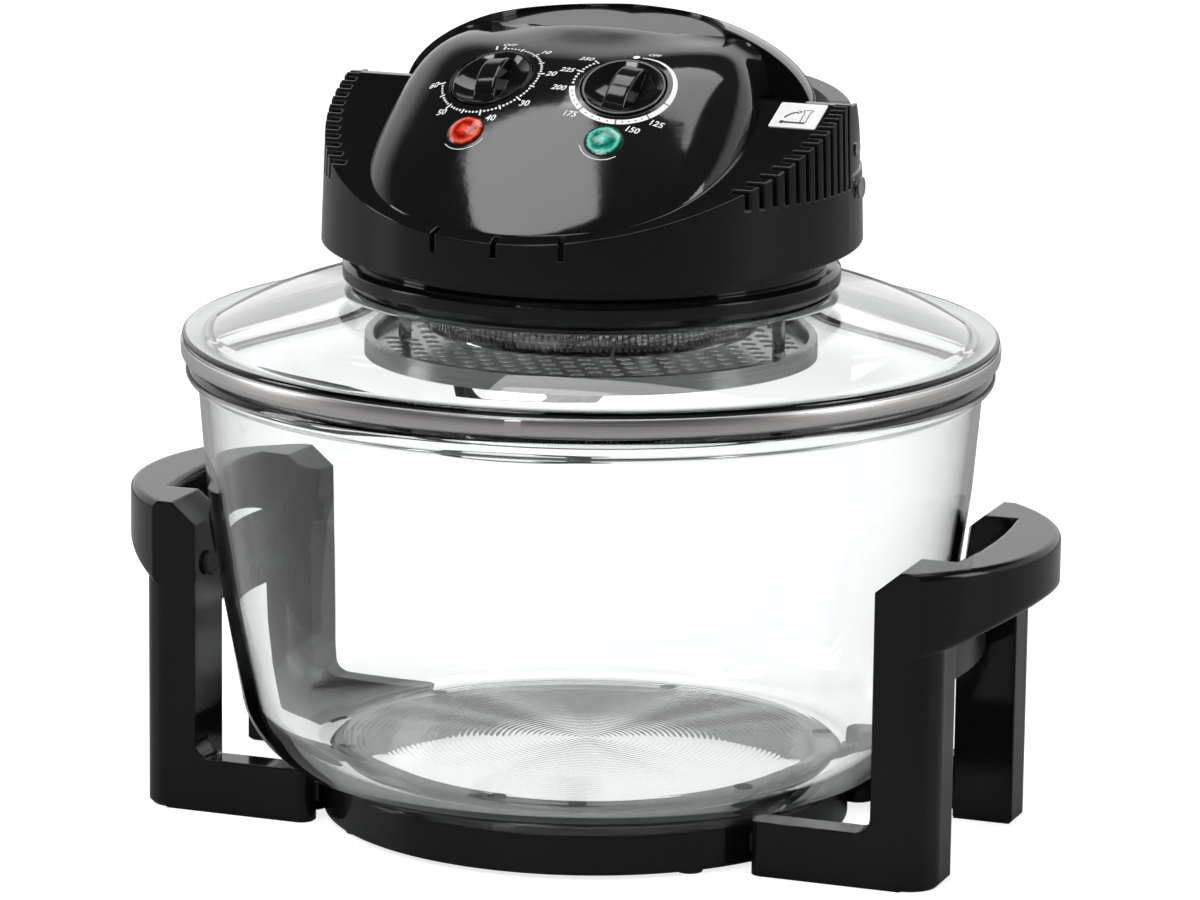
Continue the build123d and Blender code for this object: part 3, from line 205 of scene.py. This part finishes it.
def clear_glass(name, tint=(0.965, 0.99, 0.98), ior=1.48, smudge=0.03):
    """Clear glass with faint smears; light passes it to what stands behind."""
    m = Mat(name)
    m.link(m.mix(m.span(m.noise(6, 4), 0, 1), tint, (0.965, 0.975, 0.97)), m.bsdf.inputs["Base Color"])
    m.link(m.span(m.noise(22, 7, 0.6), 0.0, smudge, 0.5, 0.8), m.bsdf.inputs["Roughness"])
    m.set(Transmission_Weight=1.0, IOR=ior)
    path = m.node("ShaderNodeLightPath")
    see = m.node("ShaderNodeBsdfTransparent")
    see.inputs["Color"].default_value = (0.93, 0.96, 0.95, 1)
    mixer = m.node("ShaderNodeMixShader")
    m.link(path.outputs["Is Shadow Ray"], mixer.inputs["Fac"])
    m.link(m.bsdf.outputs["BSDF"], mixer.inputs[1])
    m.link(see.outputs["BSDF"], mixer.inputs[2])
    m.link(mixer.outputs["Shader"], m.out.inputs["Surface"])
    return m.mat


def lens_plastic(name, color, painted_highlight, centre):
    """Tinted see-through lens with painted light: a painted highlight in its middle and on its rim, painted shade in
    a groove between them and at its edge; the same pattern feeds a faint glow.
    """
    m = Mat(name)
    m.link(m.span(m.noise(120, 4), 0.03, 0.10), m.bsdf.inputs["Roughness"])
    tc = m.node("ShaderNodeTexCoord")
    away = m.node("ShaderNodeVectorMath", operation="DISTANCE")
    m.link(tc.outputs["Object"], away.inputs[0])
    away.inputs[1].default_value = centre
    wave = m.node("ShaderNodeMath", operation="MULTIPLY_ADD")
    m.link(m.noise(420, 3), wave.inputs[0])
    wave.inputs[1].default_value = 0.0022
    m.link(away.outputs["Value"], wave.inputs[2])
    ramp = m.node("ShaderNodeValToRGB")
    m.link(m.span(wave.outputs["Value"], 0, 1, 0.0011, 0.0083), ramp.inputs["Fac"])
    # Painted shade for the groove and the outer edge.
    dark = tuple(c * 0.25 for c in color)
    # From the middle out: painted highlight, lens colour, painted shade in the groove, lens colour, painted
    # highlight on the rim, painted shade at the edge.
    stops = ((0.0, painted_highlight), (0.34, color), (0.52, dark), (0.70, color), (0.86, painted_highlight), (1.0, dark))
    line = ramp.color_ramp
    line.elements[0].position = stops[0][0]
    line.elements[0].color = (*stops[0][1], 1)
    line.elements[1].position = stops[-1][0]
    line.elements[1].color = (*stops[-1][1], 1)
    for place, tone in stops[1:-1]:
        line.elements.new(place).color = (*tone, 1)
    m.link(ramp.outputs["Color"], m.bsdf.inputs["Base Color"])
    m.link(ramp.outputs["Color"], m.bsdf.inputs["Emission Color"])
    m.set(Transmission_Weight=0.3, IOR=1.49, Emission_Strength=0.10)
    m.bump(m.noise(600, 2), 0.25, 0.0005)
    return m.mat


def print_ink(name, color):
    """Screen-printed ink with a slightly uneven edge of gloss."""
    m = Mat(name)
    dim = tuple(c * 0.86 for c in color)
    m.link(m.mix(m.span(m.noise(500, 5), 0, 1), dim, color), m.bsdf.inputs["Base Color"])
    m.link(m.span(m.noise(900, 4), 0.3, 0.5), m.bsdf.inputs["Roughness"])
    m.bump(m.noise(2500, 2), 0.1, 0.00005)
    return m.mat


BLACK = gloss_plastic("gloss_black", (0.0045, 0.0045, 0.005), (0.009, 0.009, 0.010))
BLACK_STAND = gloss_plastic("gloss_black_stand", (0.003, 0.003, 0.0032), (0.006, 0.006, 0.0065), (0.05, 0.11), 0.06, 0.0014, 0.33)
BLACK_COVER = gloss_plastic("gloss_black_cover", (0.003, 0.003, 0.0032), (0.006, 0.006, 0.0065), (0.05, 0.10), 0.05, 0.0009, 0.35)
SATIN_BLACK = satin_plastic("satin_black", (0.012, 0.012, 0.013), (0.02, 0.02, 0.021))
RUBBER = satin_plastic("black_rubber", (0.010, 0.010, 0.010), (0.022, 0.022, 0.022), (0.5, 0.7))
SEAL = satin_plastic("grey_silicone", (0.30, 0.31, 0.31), (0.38, 0.39, 0.39), (0.3, 0.5))
CORD_MAT = satin_plastic("cord_jacket", (0.010, 0.010, 0.011), (0.02, 0.02, 0.021), (0.3, 0.45))
BAND = ring_metal("band_steel", (0.82, 0.80, 0.79), (0.24, 0.40))
GUARD = ring_metal("guard_steel", (0.64, 0.64, 0.65), (0.12, 0.26))
SHIELD = plain_metal("shield_steel", (0.62, 0.62, 0.63), (0.12, 0.3), 35)
RAIL = satin_plastic("rail_black", (0.010, 0.010, 0.011), (0.018, 0.018, 0.019), (0.2, 0.32))
SCREW = plain_metal("screw_steel", (0.58, 0.58, 0.58), (0.2, 0.4), 200)
ALU = plain_metal("fan_aluminium", (0.66, 0.66, 0.67), (0.25, 0.45), 80)
BRASS = plain_metal("pin_plating", (0.72, 0.70, 0.66), (0.15, 0.3), 150)
FILAMENT = plain_metal("filament_wire", (0.80, 0.78, 0.74), (0.1, 0.25), 300)
GLASS = clear_glass("bowl_glass", (0.945, 0.962, 0.956))
LID_GLASS = clear_glass("lid_glass", (0.945, 0.965, 0.958))
QUARTZ = clear_glass("lamp_quartz", (0.97, 0.97, 0.97), 1.46, 0.015)
CERAMIC = satin_plastic("ceramic", (0.62, 0.60, 0.55), (0.74, 0.72, 0.67), (0.6, 0.8))
INNER = satin_plastic("inner_case", (0.5, 0.49, 0.46), (0.6, 0.59, 0.56))
# The second colour of each lens is its painted highlight.
RED = lens_plastic("red_lens", (0.62, 0.02, 0.008), (0.95, 0.16, 0.08), (-0.0302, -0.0692, 0.3003))
GREEN = lens_plastic("green_lens", (0.01, 0.30, 0.22), (0.20, 0.75, 0.60), (0.0302, -0.0692, 0.3003))
WHITE_INK = print_ink("white_ink", (0.78, 0.78, 0.78))
BLACK_INK = print_ink("black_ink", (0.02, 0.02, 0.02))
SIGN_WHITE = print_ink("sign_film", (0.80, 0.80, 0.79))


# ---------------------------------------------------------------- mesh helpers
def finish_mesh(name, verts, faces, mat, body, smooth=True, sharp=35):
    """Object from verts and faces, shaded, dressed and riding on a body."""
    mesh = bpy.data.meshes.new(name)
    mesh.from_pydata([tuple(v) for v in verts], [], faces)
    mesh.validate()
    shell = bmesh.new()
    shell.from_mesh(mesh)
    bmesh.ops.recalc_face_normals(shell, faces=shell.faces)
    shell.to_mesh(mesh)
    shell.free()
    mesh.update()
    if smooth:
        mesh.shade_smooth()
        mesh.set_sharp_from_angle(angle=radians(sharp))
    mesh.materials.append(mat)
    obj = bpy.data.objects.new(name, mesh)
    bpy.context.collection.objects.link(obj)
    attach(obj, body)
    return obj


def arc3(a, m, b, steps):
    """Points of the arc from a through m to b, without a."""
    ax, ay, bx, by, cx, cy = *a, *m, *b
    d = 2 * (ax * (by - cy) + bx * (cy - ay) + cx * (ay - by))
    ux = ((ax**2 + ay**2) * (by - cy) + (bx**2 + by**2) * (cy - ay) + (cx**2 + cy**2) * (ay - by)) / d
    uy = ((ax**2 + ay**2) * (cx - bx) + (bx**2 + by**2) * (ax - cx) + (cx**2 + cy**2) * (bx - ax)) / d
    r = hypot(ax - ux, ay - uy)
    t0, tm, t1 = (atan2(y - uy, x - ux) for x, y in (a, m, b))
    while tm - t0 > pi:
        tm -= 2 * pi
    while tm - t0 < -pi:
        tm += 2 * pi
    while t1 - tm > pi:
        t1 -= 2 * pi
    while t1 - tm < -pi:
        t1 += 2 * pi
    return [(ux + r * cos(t0 + (t1 - t0) * k / steps), uy + r * sin(t0 + (t1 - t0) * k / steps))
            for k in range(1, steps + 1)]


def lathe(name, profile, mat, body, segments=192, sharp=35, arc=None):
    """Body turned from a closed profile of (radius, height) in millimetres."""
    full = arc is None
    start, end = (0, 2 * pi) if full else (radians(arc[0]), radians(arc[1]))
    n = segments if full else segments + 1
    count = len(profile)
    verts, index = [], {}
    for i, (r, z) in enumerate(profile):
        for j in range(1 if r < 1e-6 else n):
            t = start + (end - start) * j / segments
            index[i, j] = len(verts)
            verts.append((r * MM * cos(t), r * MM * sin(t), z * MM))
    faces = []
    for i in range(count):
        k = (i + 1) % count
        for j in range(segments):
            j2 = (j + 1) % n
            quad = []
            for p, q in ((i, j), (i, j2), (k, j2), (k, j)):
                v = index[p, 0 if profile[p][0] < 1e-6 else q]
                if v not in quad:
                    quad.append(v)
            if len(quad) > 2:
                faces.append(quad)
    if not full:
        faces.append([index[i, 0] for i in range(count)])
        faces.append([index[i, n - 1] for i in reversed(range(count))])
    return finish_mesh(name, verts, faces, mat, body, True, sharp)


def dress(name, mat, smooth=None):
    """Gives a CAD node its material."""
    mesh = NODES[name].data
    mesh.materials.clear()
    mesh.materials.append(mat)
    if smooth:
        mesh.shade_smooth()
        mesh.set_sharp_from_angle(angle=radians(smooth))


# ---------------------------------------------------------------- cord
OUT = Vector((cos(radians(120.4)), sin(radians(120.4)), 0))
SIDE = Vector((OUT.y, -OUT.x, 0))
LEAD = [(139, 0, 262), (166, 0, 258), (184.4, 14.5, 241.9), (182, 29, 217.4), (182, 29, 198)]
COIL_R = 29.0
COIL_PITCH = 7.2
COIL_LOOPS = 4
COIL_OUT = 182.0
COIL_LOW_FIRST = 163.5
COIL_LOW = 170.0
COIL_HIGH = 206.0
BOOT_TOP = 184.0


def behind(out, side, z):
    """A place given by its distance out from the head's axis, sideways and up, in millimetres."""
    return (OUT * out + SIDE * side + Vector((0, 0, z))) * MM


cord_points = [behind(*p) for p in LEAD]
out, low = COIL_OUT, COIL_LOW_FIRST
step = pi / 5
wide = COIL_R / cos(step / 2)
for turn in range(COIL_LOOPS):
    cord_points.append(behind(out, COIL_R, low + 12))
    for k in range(5):
        t = step * (k + 0.5)
        cord_points.append(behind(out, wide * cos(t), low - wide * sin(t)))
    cord_points.append(behind(out + 0.3, -COIL_R, COIL_LOW + 9))
    cord_points.append(behind(out + COIL_PITCH - 0.3, -COIL_R, COIL_HIGH - 9))
    out += COIL_PITCH
    for k in range(5):
        t = step * (k + 0.5)
        cord_points.append(behind(out, -wide * cos(t), COIL_HIGH + wide * sin(t)))
    if turn < COIL_LOOPS - 1:
        cord_points.append(behind(out, COIL_R, COIL_HIGH - 12))
    low = COIL_LOW
cord_points.append(behind(out, COIL_R, COIL_HIGH - 10))
cord_points.append(behind(out, COIL_R, BOOT_TOP))

cord_curve = bpy.data.curves.new("power_cord", "CURVE")
cord_curve.dimensions = "3D"
cord_curve.resolution_u = 8
cord_curve.bevel_depth = 0.003
cord_curve.bevel_resolution = 5
cord_curve.use_fill_caps = True
spline = cord_curve.splines.new("NURBS")
spline.points.add(len(cord_points) - 1)
for point, place in zip(spline.points, cord_points):
    point.co = (*place, 1)
spline.order_u = 3
spline.use_endpoint_u = True
cord_curve.materials.append(CORD_MAT)
power_cord = bpy.data.objects.new("power_cord", cord_curve)
bpy.context.collection.objects.link(power_cord)
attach(power_cord, "lid")
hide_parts("cord_lead", "cord_coil", "cord_tail")

# ---------------------------------------------------------------- dress the CAD nodes
for name in ("main_cover", "lid_collar", "vent_neck"):
    dress(name, BLACK_COVER, 30)
for name in ("control_dome", "carry_handle", "timer_knob", "temp_knob"):
    dress(name, BLACK, 30)
for name in ("base_ring", "right_handle_frame", "left_handle_frame"):
    dress(name, BLACK_STAND, 30)
for name in ("right_inner_rail", "left_inner_rail"):
    dress(name, RAIL, 30)
for name in ("stand_feet", "bowl_pads", "bowl_bumpers"):
    dress(name, RUBBER, 40)
for name in ("strain_relief", "cord_tie", "plug_body"):
    dress(name, CORD_MAT, 40)
dress("lid_seal", SEAL, 40)
dress("plug_pins", BRASS, 40)
dress("guard_plate", GUARD, 30)
dress("guard_standoffs", SCREW, 40)
dress("heat_shield", SHIELD, 30)
dress("clamp_ring", SHIELD, 30)
dress("motor_plate", SHIELD, 30)
dress("hot_air_fan", ALU)
dress("cooling_fan", ALU)
dress("lamp_holders", CERAMIC, 40)
for name in ("stand_screws", "side_screws", "handle_pins", "fan_shaft", "timer_shaft", "temp_shaft", "fan_motor"):
    dress(name, SCREW, 40)
for name in ("timer_case", "thermostat_case", "terminal_block", "safety_switch", "switch_plunger"):
    dress(name, INNER, 40)
dress("power_lens", RED, 20)
dress("heat_lens", GREEN, 20)
dress("power_indicator", FILAMENT, 40)
dress("heat_indicator", FILAMENT, 40)
dress("handle_sign", SIGN_WHITE, 40)

# ---------------------------------------------------------------- glass bowl and lid
RIDGE_PITCH, RIDGE_COUNT = 2.5, 42
floor_in = 28.5
bowl = [(0, floor_in + 0.1)]
for k in range(RIDGE_COUNT):
    for f in (0.25, 0.5, 0.75, 1.0):
        rise = 0.07 * sin(pi * f) ** 2
        bowl.append((RIDGE_PITCH * (k + f), floor_in + rise))
bowl += arc3((105, floor_in), (131.0, 35.8), (142.3, 55), 14)
bowl += [(150.8, 100), (156.6, 143), (160.0, 184.5), (161.2, 194.0), (161.8, 194.6), (168.0, 194.6)]
bowl += arc3((168.0, 194.6), (169.5, 191.6), (168.4, 188.6), 8)
bowl += arc3((168.4, 188.6), (165.6, 187.5), (164.2, 184.5), 6)
bowl += [(160.8, 143), (155, 100), (146.5, 54)]
bowl += arc3((146.5, 54), (134.5, 31.5), (109, 23.5), 14)
bowl += [(0, 23.5)]
glass_bowl = lathe("bowl_clear", bowl, GLASS, "bowl", 224, 40)
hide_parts("glass_bowl")

lid = [(90, 223.1), (90, 227.5), (103, 226.9)]
lid += arc3((103, 226.9), (134, 219.6), (160.4, 207.2), 20)
lid += [(168.9, 207.4)]
lid += arc3((168.9, 207.4), (170.9, 205.9), (168.9, 204.6), 8)
lid += [(160.4, 202.6)]
lid += arc3((160.4, 202.6), (133, 215.2), (103, 222.5), 20)
glass_lid = lathe("lid_clear", lid, LID_GLASS, "lid", 224, 50)
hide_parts("glass_lid")

band = [(161.5, 196.0), (167.8, 196.0)]
band += arc3((167.8, 196.0), (170.4, 197.1), (171.5, 199.6), 6)
band += [(171.6, 203.6), (171.3, 204.3), (170.6, 204.3), (170.4, 199.0), (168.2, 197.0), (161.5, 197.0)]
lid_band = lathe("lid_rim_band", band, BAND, "lid", 224, 40)
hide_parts("lid_band")
joint = [(171.55, 197.4), (171.95, 199.8), (172.0, 203.4), (171.6, 203.8)]
lathe("lid_band_joint", joint, BAND, "lid", 8, 30, arc=(-80.6, -78.4))

# ---------------------------------------------------------------- lamp
tube = [(67 + 5.5 * cos(t), 214 + 5.5 * sin(t)) for t in (2 * pi * k / 20 for k in range(20))]
lamp = lathe("lamp_tube", tube, QUARTZ, "lid", 168, 60, arc=(102, 438))
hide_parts("halogen_lamp")

coil_points = []
COIL_TURNS = 150
for k in range(COIL_TURNS * 9 + 1):
    t = k / 9
    a = radians(104 + 332 * t / COIL_TURNS)
    r = 67 + 2.3 * cos(2 * pi * t)
    coil_points.append((r * cos(a) * MM, r * sin(a) * MM, (214 + 2.3 * sin(2 * pi * t)) * MM))
wire = bpy.data.curves.new("lamp_coil", "CURVE")
wire.dimensions = "3D"
wire.bevel_depth = 0.00035
wire.bevel_resolution = 1
ws = wire.splines.new("POLY")
ws.points.add(len(coil_points) - 1)
for point, place in zip(ws.points, coil_points):
    point.co = (*place, 1)
wire.materials.append(FILAMENT)
lamp_coil = bpy.data.objects.new("lamp_coil", wire)
bpy.context.collection.objects.link(lamp_coil)
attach(lamp_coil, "lid")
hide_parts("lamp_filament")


# ---------------------------------------------------------------- print on the control dome
bpy.context.view_layer.update()
dome_mesh = NODES["control_dome"].data
dome_tree = BVHTree.FromPolygons(
    [v.co.copy() for v in dome_mesh.vertices], [tuple(p.vertices) for p in dome_mesh.polygons]
)


class Face:
    """A printed place on the dome, looking along its normal."""

    def __init__(self, origin, normal, across):
        self.origin = Vector(origin)
        self.normal = Vector(normal).normalized()
        self.across = Vector(across).normalized()
        self.up = self.normal.cross(self.across)

    def at(self, x, y, lift=0.00012):
        """The place on the dome below (x, y) millimetres on this face."""
        start = self.origin + (self.across * x + self.up * y) * MM + self.normal * 0.02
        hit, normal, _, _ = dome_tree.ray_cast(start, -self.normal)
        if hit is None:
            hit, normal, _, _ = dome_tree.find_nearest(start - self.normal * 0.02)
        if normal.dot(self.normal) < 0:
            normal = -normal
        return hit + normal * lift


TIMER = Face((-0.0281554, -0.0386609, 0.310996), (-0.098209, -0.504545, 0.857782), (0.99351, 0, 0.113749))
TEMP = Face((0.0281554, -0.0386609, 0.310996), (0.098209, -0.504545, 0.857782), (0.99351, 0, -0.113749))
POWER = Face((-0.03, -0.0682, 0.299168), (-0.116235, -0.643007, 0.756988), (0.988416, 0, 0.151771))
HEAT = Face((0.03, -0.0682, 0.299168), (0.116235, -0.643007, 0.756988), (0.988416, 0, -0.151771))


def polar(radius, clock):
    """Place on a dial at this radius and clockwise angle from the top."""
    return radius * sin(radians(clock)), radius * cos(radians(clock))


def patch(verts, faces, face, ring, lift):
    """Adds one flat printed shape given by its outline."""
    base = len(verts)
    for x, y in ring:
        verts.append(face.at(x, y, lift))
    faces.append(list(range(base, base + len(ring))))


def bar(verts, faces, face, r0, r1, clock, width, lift=0.00012):
    """A radial tick."""
    c, s = sin(radians(clock)), cos(radians(clock))
    ring = [(r * c + w * s, r * s - w * c) for r, w in
            ((r0, -width / 2), (r1, -width / 2), (r1, width / 2), (r0, width / 2))]
    patch(verts, faces, face, ring, lift)


def dot(verts, faces, face, radius, clock, size, lift=0.00012):
    """A round mark."""
    x, y = polar(radius, clock)
    patch(verts, faces, face, [(x + size * cos(t), y + size * sin(t)) for t in
                               (2 * pi * k / 10 for k in range(10))], lift)


def band_mark(verts, faces, face, start, end, inner, outer, lift=0.00010, steps=40):
    """A curved band from one angle to another; inner and outer are radii at start and end."""
    base = len(verts)
    for k in range(steps + 1):
        f = k / steps
        clock = start + (end - start) * f
        for pair in (inner, outer):
            verts.append(face.at(*polar(pair[0] + (pair[1] - pair[0]) * f, clock), lift))
    for k in range(steps):
        i = base + 2 * k
        faces.append([i, i + 1, i + 3, i + 2])


def words(text, face, x, y, size, spin=0.0, slant=0.25):
    """Figures printed on the dome, as one mesh."""
    curve = bpy.data.curves.new("figures", "FONT")
    curve.body = text
    curve.size = size
    curve.shear = slant
    curve.align_x = "CENTER"
    curve.align_y = "CENTER"
    curve.resolution_u = 3
    curve.offset = size * 0.018
    obj = bpy.data.objects.new("figures", curve)
    bpy.context.collection.objects.link(obj)
    bpy.context.view_layer.update()
    mesh = bpy.data.meshes.new_from_object(obj.evaluated_get(bpy.context.evaluated_depsgraph_get()))
    bpy.data.objects.remove(obj)
    c, s = cos(radians(spin)), sin(radians(spin))
    verts = [face.at(x + v.co.x * c - v.co.y * s, y + v.co.x * s + v.co.y * c) for v in mesh.vertices]
    return verts, [list(p.vertices) for p in mesh.polygons]


def join(groups):
    verts, faces = [], []
    for v, f in groups:
        base = len(verts)
        verts += v
        faces += [[base + i for i in g] for g in f]
    return verts, faces


# timer: nought at the top, sixty after three quarters of a turn
T0, T_STEP, T_R = -2.0, 44.8, 21.2
marks = ([], [])
for k in range(61):
    clock = T0 + T_STEP * k / 10
    if k % 5 == 0:
        bar(*marks, TIMER, T_R - 1.0, T_R + (2.0 if k % 10 == 0 else 1.3), clock, 0.75)
    else:
        dot(*marks, TIMER, T_R, clock, 0.55)
bar(*marks, TIMER, T_R - 1.0, T_R + 2.6, T0 - 9.0, 0.75)
groups = [marks]
for k in range(1, 7):
    clear = 11 if k == 4 else 0       # the red lens is just below the forty
    groups.append(words(str(10 * k), TIMER, *polar(T_R + 4.6, T0 + T_STEP * k - clear), 4.3))
groups.append(words("OFF", TIMER, *polar(T_R + 3.8, T0 + 2), 3.2))
finish_mesh("timer_scale", *join(groups), WHITE_INK, "lid", False)

# thermostat: band that widens clockwise, then segments and dots
H_R = 21.0
WARM, STEPS = 103, (131, 168, 215, 255)
marks = ([], [])
band_mark(*marks, TEMP, 0, WARM - 0.8, (H_R - 0.3, H_R - 1.1), (H_R + 0.3, H_R + 1.3))
band_mark(*marks, TEMP, WARM + 0.8, STEPS[-1], (H_R - 1.1, H_R - 1.1), (H_R + 1.3, H_R + 1.3), steps=60)
for clock in (261, 266.5, 272, 277.5, 288, 293, 298, 303):
    dot(*marks, TEMP, H_R + 0.1, clock, 0.62)
for clock in (283, 308):
    bar(*marks, TEMP, H_R - 1.2, H_R + 2.2, clock, 0.75)
dot(*marks, TEMP, H_R + 0.2, 353, 1.5)
groups = [marks]
for text, clock, far in (("125", 129, 4.8), ("150", 152, 4.6), ("175", 217, 5.2), ("200", 254, 5.8),
                         ("225", 280, 6.2), ("250", 304, 6.2)):
    groups.append(words(text, TEMP, *polar(H_R + far, clock), 4.1))
groups.append(words("OFF", TEMP, *polar(H_R + 3.8, 9), 3.0))
finish_mesh("temp_scale", *join(groups), WHITE_INK, "lid", False)
marks = ([], [])
for clock in STEPS[:-1]:
    bar(*marks, TEMP, H_R - 1.2, H_R + 1.4, clock, 0.5, 0.0002)
for first, last in zip(STEPS, STEPS[1:]):
    for k in range(1, 5):
        dot(*marks, TEMP, H_R + 0.1, first + (last - first) * k / 5, 0.34, 0.0002)
finish_mesh("temp_scale_ticks", *marks, BLACK_INK, "lid", False)

# thin arcs under the lenses
marks = ([], [])
band_mark(*marks, POWER, 118, 232, (9.6, 9.6), (9.95, 9.95))
band_mark(*marks, HEAT, 128, 242, (9.6, 9.6), (9.95, 9.95))
finish_mesh("lens_arcs", *marks, WHITE_INK, "lid", False)

# ---------------------------------------------------------------- handle pictogram on the white plate
slope = Vector((0, -0.417, 1)).normalized()
plate = Matrix((Vector((1, 0, 0)), slope.cross(Vector((1, 0, 0))), slope)).transposed()
spot = Vector((93.0, -9.8, 309 - 0.417 * 9.8)) * MM + slope * 0.00055


def on_plate(x, y):
    return spot + plate @ Vector((x, y, 0)) * MM


verts, faces = [], []


def plate_line(points, width):
    """A drawn line on the plate."""
    for (x0, y0), (x1, y1) in zip(points, points[1:]):
        dx, dy = x1 - x0, y1 - y0
        n = hypot(dx, dy)
        ox, oy = -dy / n * width / 2, dx / n * width / 2
        base = len(verts)
        for x, y in ((x0 + ox, y0 + oy), (x1 + ox, y1 + oy), (x1 - ox, y1 - oy), (x0 - ox, y0 - oy)):
            verts.append(on_plate(x, y))
        faces.append([base, base + 1, base + 2, base + 3])


# the folded handle is the filled bar, the raised one an outline, and an arrow joins them
plate_line([(-5.8, -5.6), (4.6, -5.6)], 1.3)
plate_line([(-6.3, -5.6), (-4.8, -5.6)], 2.2)
plate_line([(2.2, -4.9), (2.2, 2.4), (1.5, 3.6), (1.5, 4.4), (5.3, 4.4), (5.3, 3.6), (4.6, 2.4), (4.6, -4.9)], 0.4)
plate_line([(-5.2, -2.2), (-4.6, -0.6), (-3.6, 0.8), (-2.2, 1.9), (-0.6, 2.6)], 0.9)
plate_line([(-0.9, 4.0), (0.9, 2.8), (-0.6, 1.3)], 0.5)
finish_mesh("sign_lines", verts, faces, BLACK_INK, "lid", False)


# ---------------------------------------------------------------- studio
def floor_material():
    m = Mat("studio_floor")
    m.link(m.mix(m.span(m.noise(1.5, 3), 0, 1), (0.36, 0.36, 0.36), (0.37, 0.37, 0.37)), m.bsdf.inputs["Base Color"])
    m.link(m.span(m.noise(30, 3), 0.55, 0.65), m.bsdf.inputs["Roughness"])
    m.set(Specular_IOR_Level=0.2)
    path = m.node("ShaderNodeLightPath")
    straight = m.node("ShaderNodeMath", operation="LESS_THAN")
    m.link(path.outputs["Glossy Depth"], straight.inputs[0])
    straight.inputs[1].default_value = 0.5
    through = m.node("ShaderNodeMath", operation="MULTIPLY")
    m.link(path.outputs["Is Transmission Ray"], through.inputs[0])
    m.link(straight.outputs["Value"], through.inputs[1])
    most = m.node("ShaderNodeMath", operation="MAXIMUM")
    m.link(path.outputs["Is Camera Ray"], most.inputs[0])
    m.link(through.outputs["Value"], most.inputs[1])
    glow = m.node("ShaderNodeMath", operation="MULTIPLY")
    m.link(most.outputs["Value"], glow.inputs[0])
    glow.inputs[1].default_value = 0.80
    m.set(Emission_Color=(1, 1, 1, 1))
    m.link(glow.outputs["Value"], m.bsdf.inputs["Emission Strength"])
    return m.mat


def grid_plane(name, size, z, mat):
    n = 16
    verts = [(-size + 2 * size * i / n, -size + 2 * size * j / n, z) for j in range(n + 1) for i in range(n + 1)]
    faces = [(j * (n + 1) + i, j * (n + 1) + i + 1, (j + 1) * (n + 1) + i + 1, (j + 1) * (n + 1) + i)
             for j in range(n) for i in range(n)]
    mesh = bpy.data.meshes.new(name)
    mesh.from_pydata(verts, [], faces)
    mesh.materials.append(mat)
    obj = bpy.data.objects.new(name, mesh)
    bpy.context.collection.objects.link(obj)
    return obj


grid_plane("studio_floor", 14, 0.0, floor_material())


def softbox(name, place, aim, width, height, power):
    data = bpy.data.lights.new(name, "AREA")
    data.shape = "RECTANGLE"
    data.size = width
    data.size_y = height
    data.energy = power
    obj = bpy.data.objects.new(name, data)
    obj.location = place
    obj.rotation_euler = (Vector(aim) - Vector(place)).to_track_quat("-Z", "Y").to_euler()
    bpy.context.collection.objects.link(obj)


softbox("key_front", (-0.3, -2.6, 2.6), (0, 0, 0.2), 1.1, 0.9, 34)
softbox("overhead", (-0.82, -0.42, 2.8), (0, -0.05, 0.3), 1.15, 0.8, 15)
softbox("side_left", (-2.6, -0.7, 1.1), (0, 0, 0.2), 0.7, 1.7, 22)
softbox("side_right", (2.7, 0.1, 1.3), (0, 0, 0.2), 0.8, 1.7, 22)
softbox("top", (0.0, 0.7, 2.9), (0, 0, 0.2), 1.8, 1.2, 26)

world = bpy.data.worlds.new("studio")
bpy.context.scene.world = world
world.use_nodes = True
wt = world.node_tree
back = wt.nodes["Background"]
tc = wt.nodes.new("ShaderNodeTexCoord")
sep = wt.nodes.new("ShaderNodeSeparateXYZ")
wt.links.new(tc.outputs["Generated"], sep.inputs["Vector"])
ramp = wt.nodes.new("ShaderNodeMapRange")
ramp.inputs["From Min"].default_value = -0.2
ramp.inputs["From Max"].default_value = 0.3
ramp.inputs["To Min"].default_value = 0.03
ramp.inputs["To Max"].default_value = 1.0
wt.links.new(sep.outputs["Y"], ramp.inputs["Value"])
low = wt.nodes.new("ShaderNodeMapRange")
low.inputs["From Min"].default_value = 0.50
low.inputs["From Max"].default_value = 0.64
low.inputs["To Min"].default_value = 1.0
low.inputs["To Max"].default_value = 0.03
wt.links.new(sep.outputs["Z"], low.inputs["Value"])
horizon = wt.nodes.new("ShaderNodeMath")
horizon.operation = "MULTIPLY"
wt.links.new(ramp.outputs["Result"], horizon.inputs[0])
wt.links.new(low.outputs["Result"], horizon.inputs[1])
lp = wt.nodes.new("ShaderNodeLightPath")
# white for the camera and straight through glass; anything mirrored on the way sees the horizon ramp
mirrored = wt.nodes.new("ShaderNodeMath")
mirrored.operation = "GREATER_THAN"
wt.links.new(lp.outputs["Glossy Depth"], mirrored.inputs[0])
mirrored.inputs[1].default_value = 0.5
through = wt.nodes.new("ShaderNodeMath")
through.operation = "GREATER_THAN"
wt.links.new(lp.outputs["Is Transmission Ray"], through.inputs[0])
wt.links.new(mirrored.outputs["Value"], through.inputs[1])
pick = wt.nodes.new("ShaderNodeMath")
pick.operation = "MAXIMUM"
wt.links.new(lp.outputs["Is Camera Ray"], pick.inputs[0])
wt.links.new(through.outputs["Value"], pick.inputs[1])
direct = wt.nodes.new("ShaderNodeMix")
direct.data_type = "FLOAT"
direct.inputs["A"].default_value = 0.55
wt.links.new(mirrored.outputs["Value"], direct.inputs["Factor"])
wt.links.new(horizon.outputs["Value"], direct.inputs["B"])
level = wt.nodes.new("ShaderNodeMix")
level.data_type = "FLOAT"
level.inputs["B"].default_value = 1.0
wt.links.new(pick.outputs["Value"], level.inputs["Factor"])
wt.links.new(direct.outputs["Result"], level.inputs["A"])
wt.links.new(level.outputs["Result"], back.inputs["Strength"])
back.inputs["Color"].default_value = (1, 1, 1, 1)

bpy.context.scene.view_settings.view_transform = "Standard"
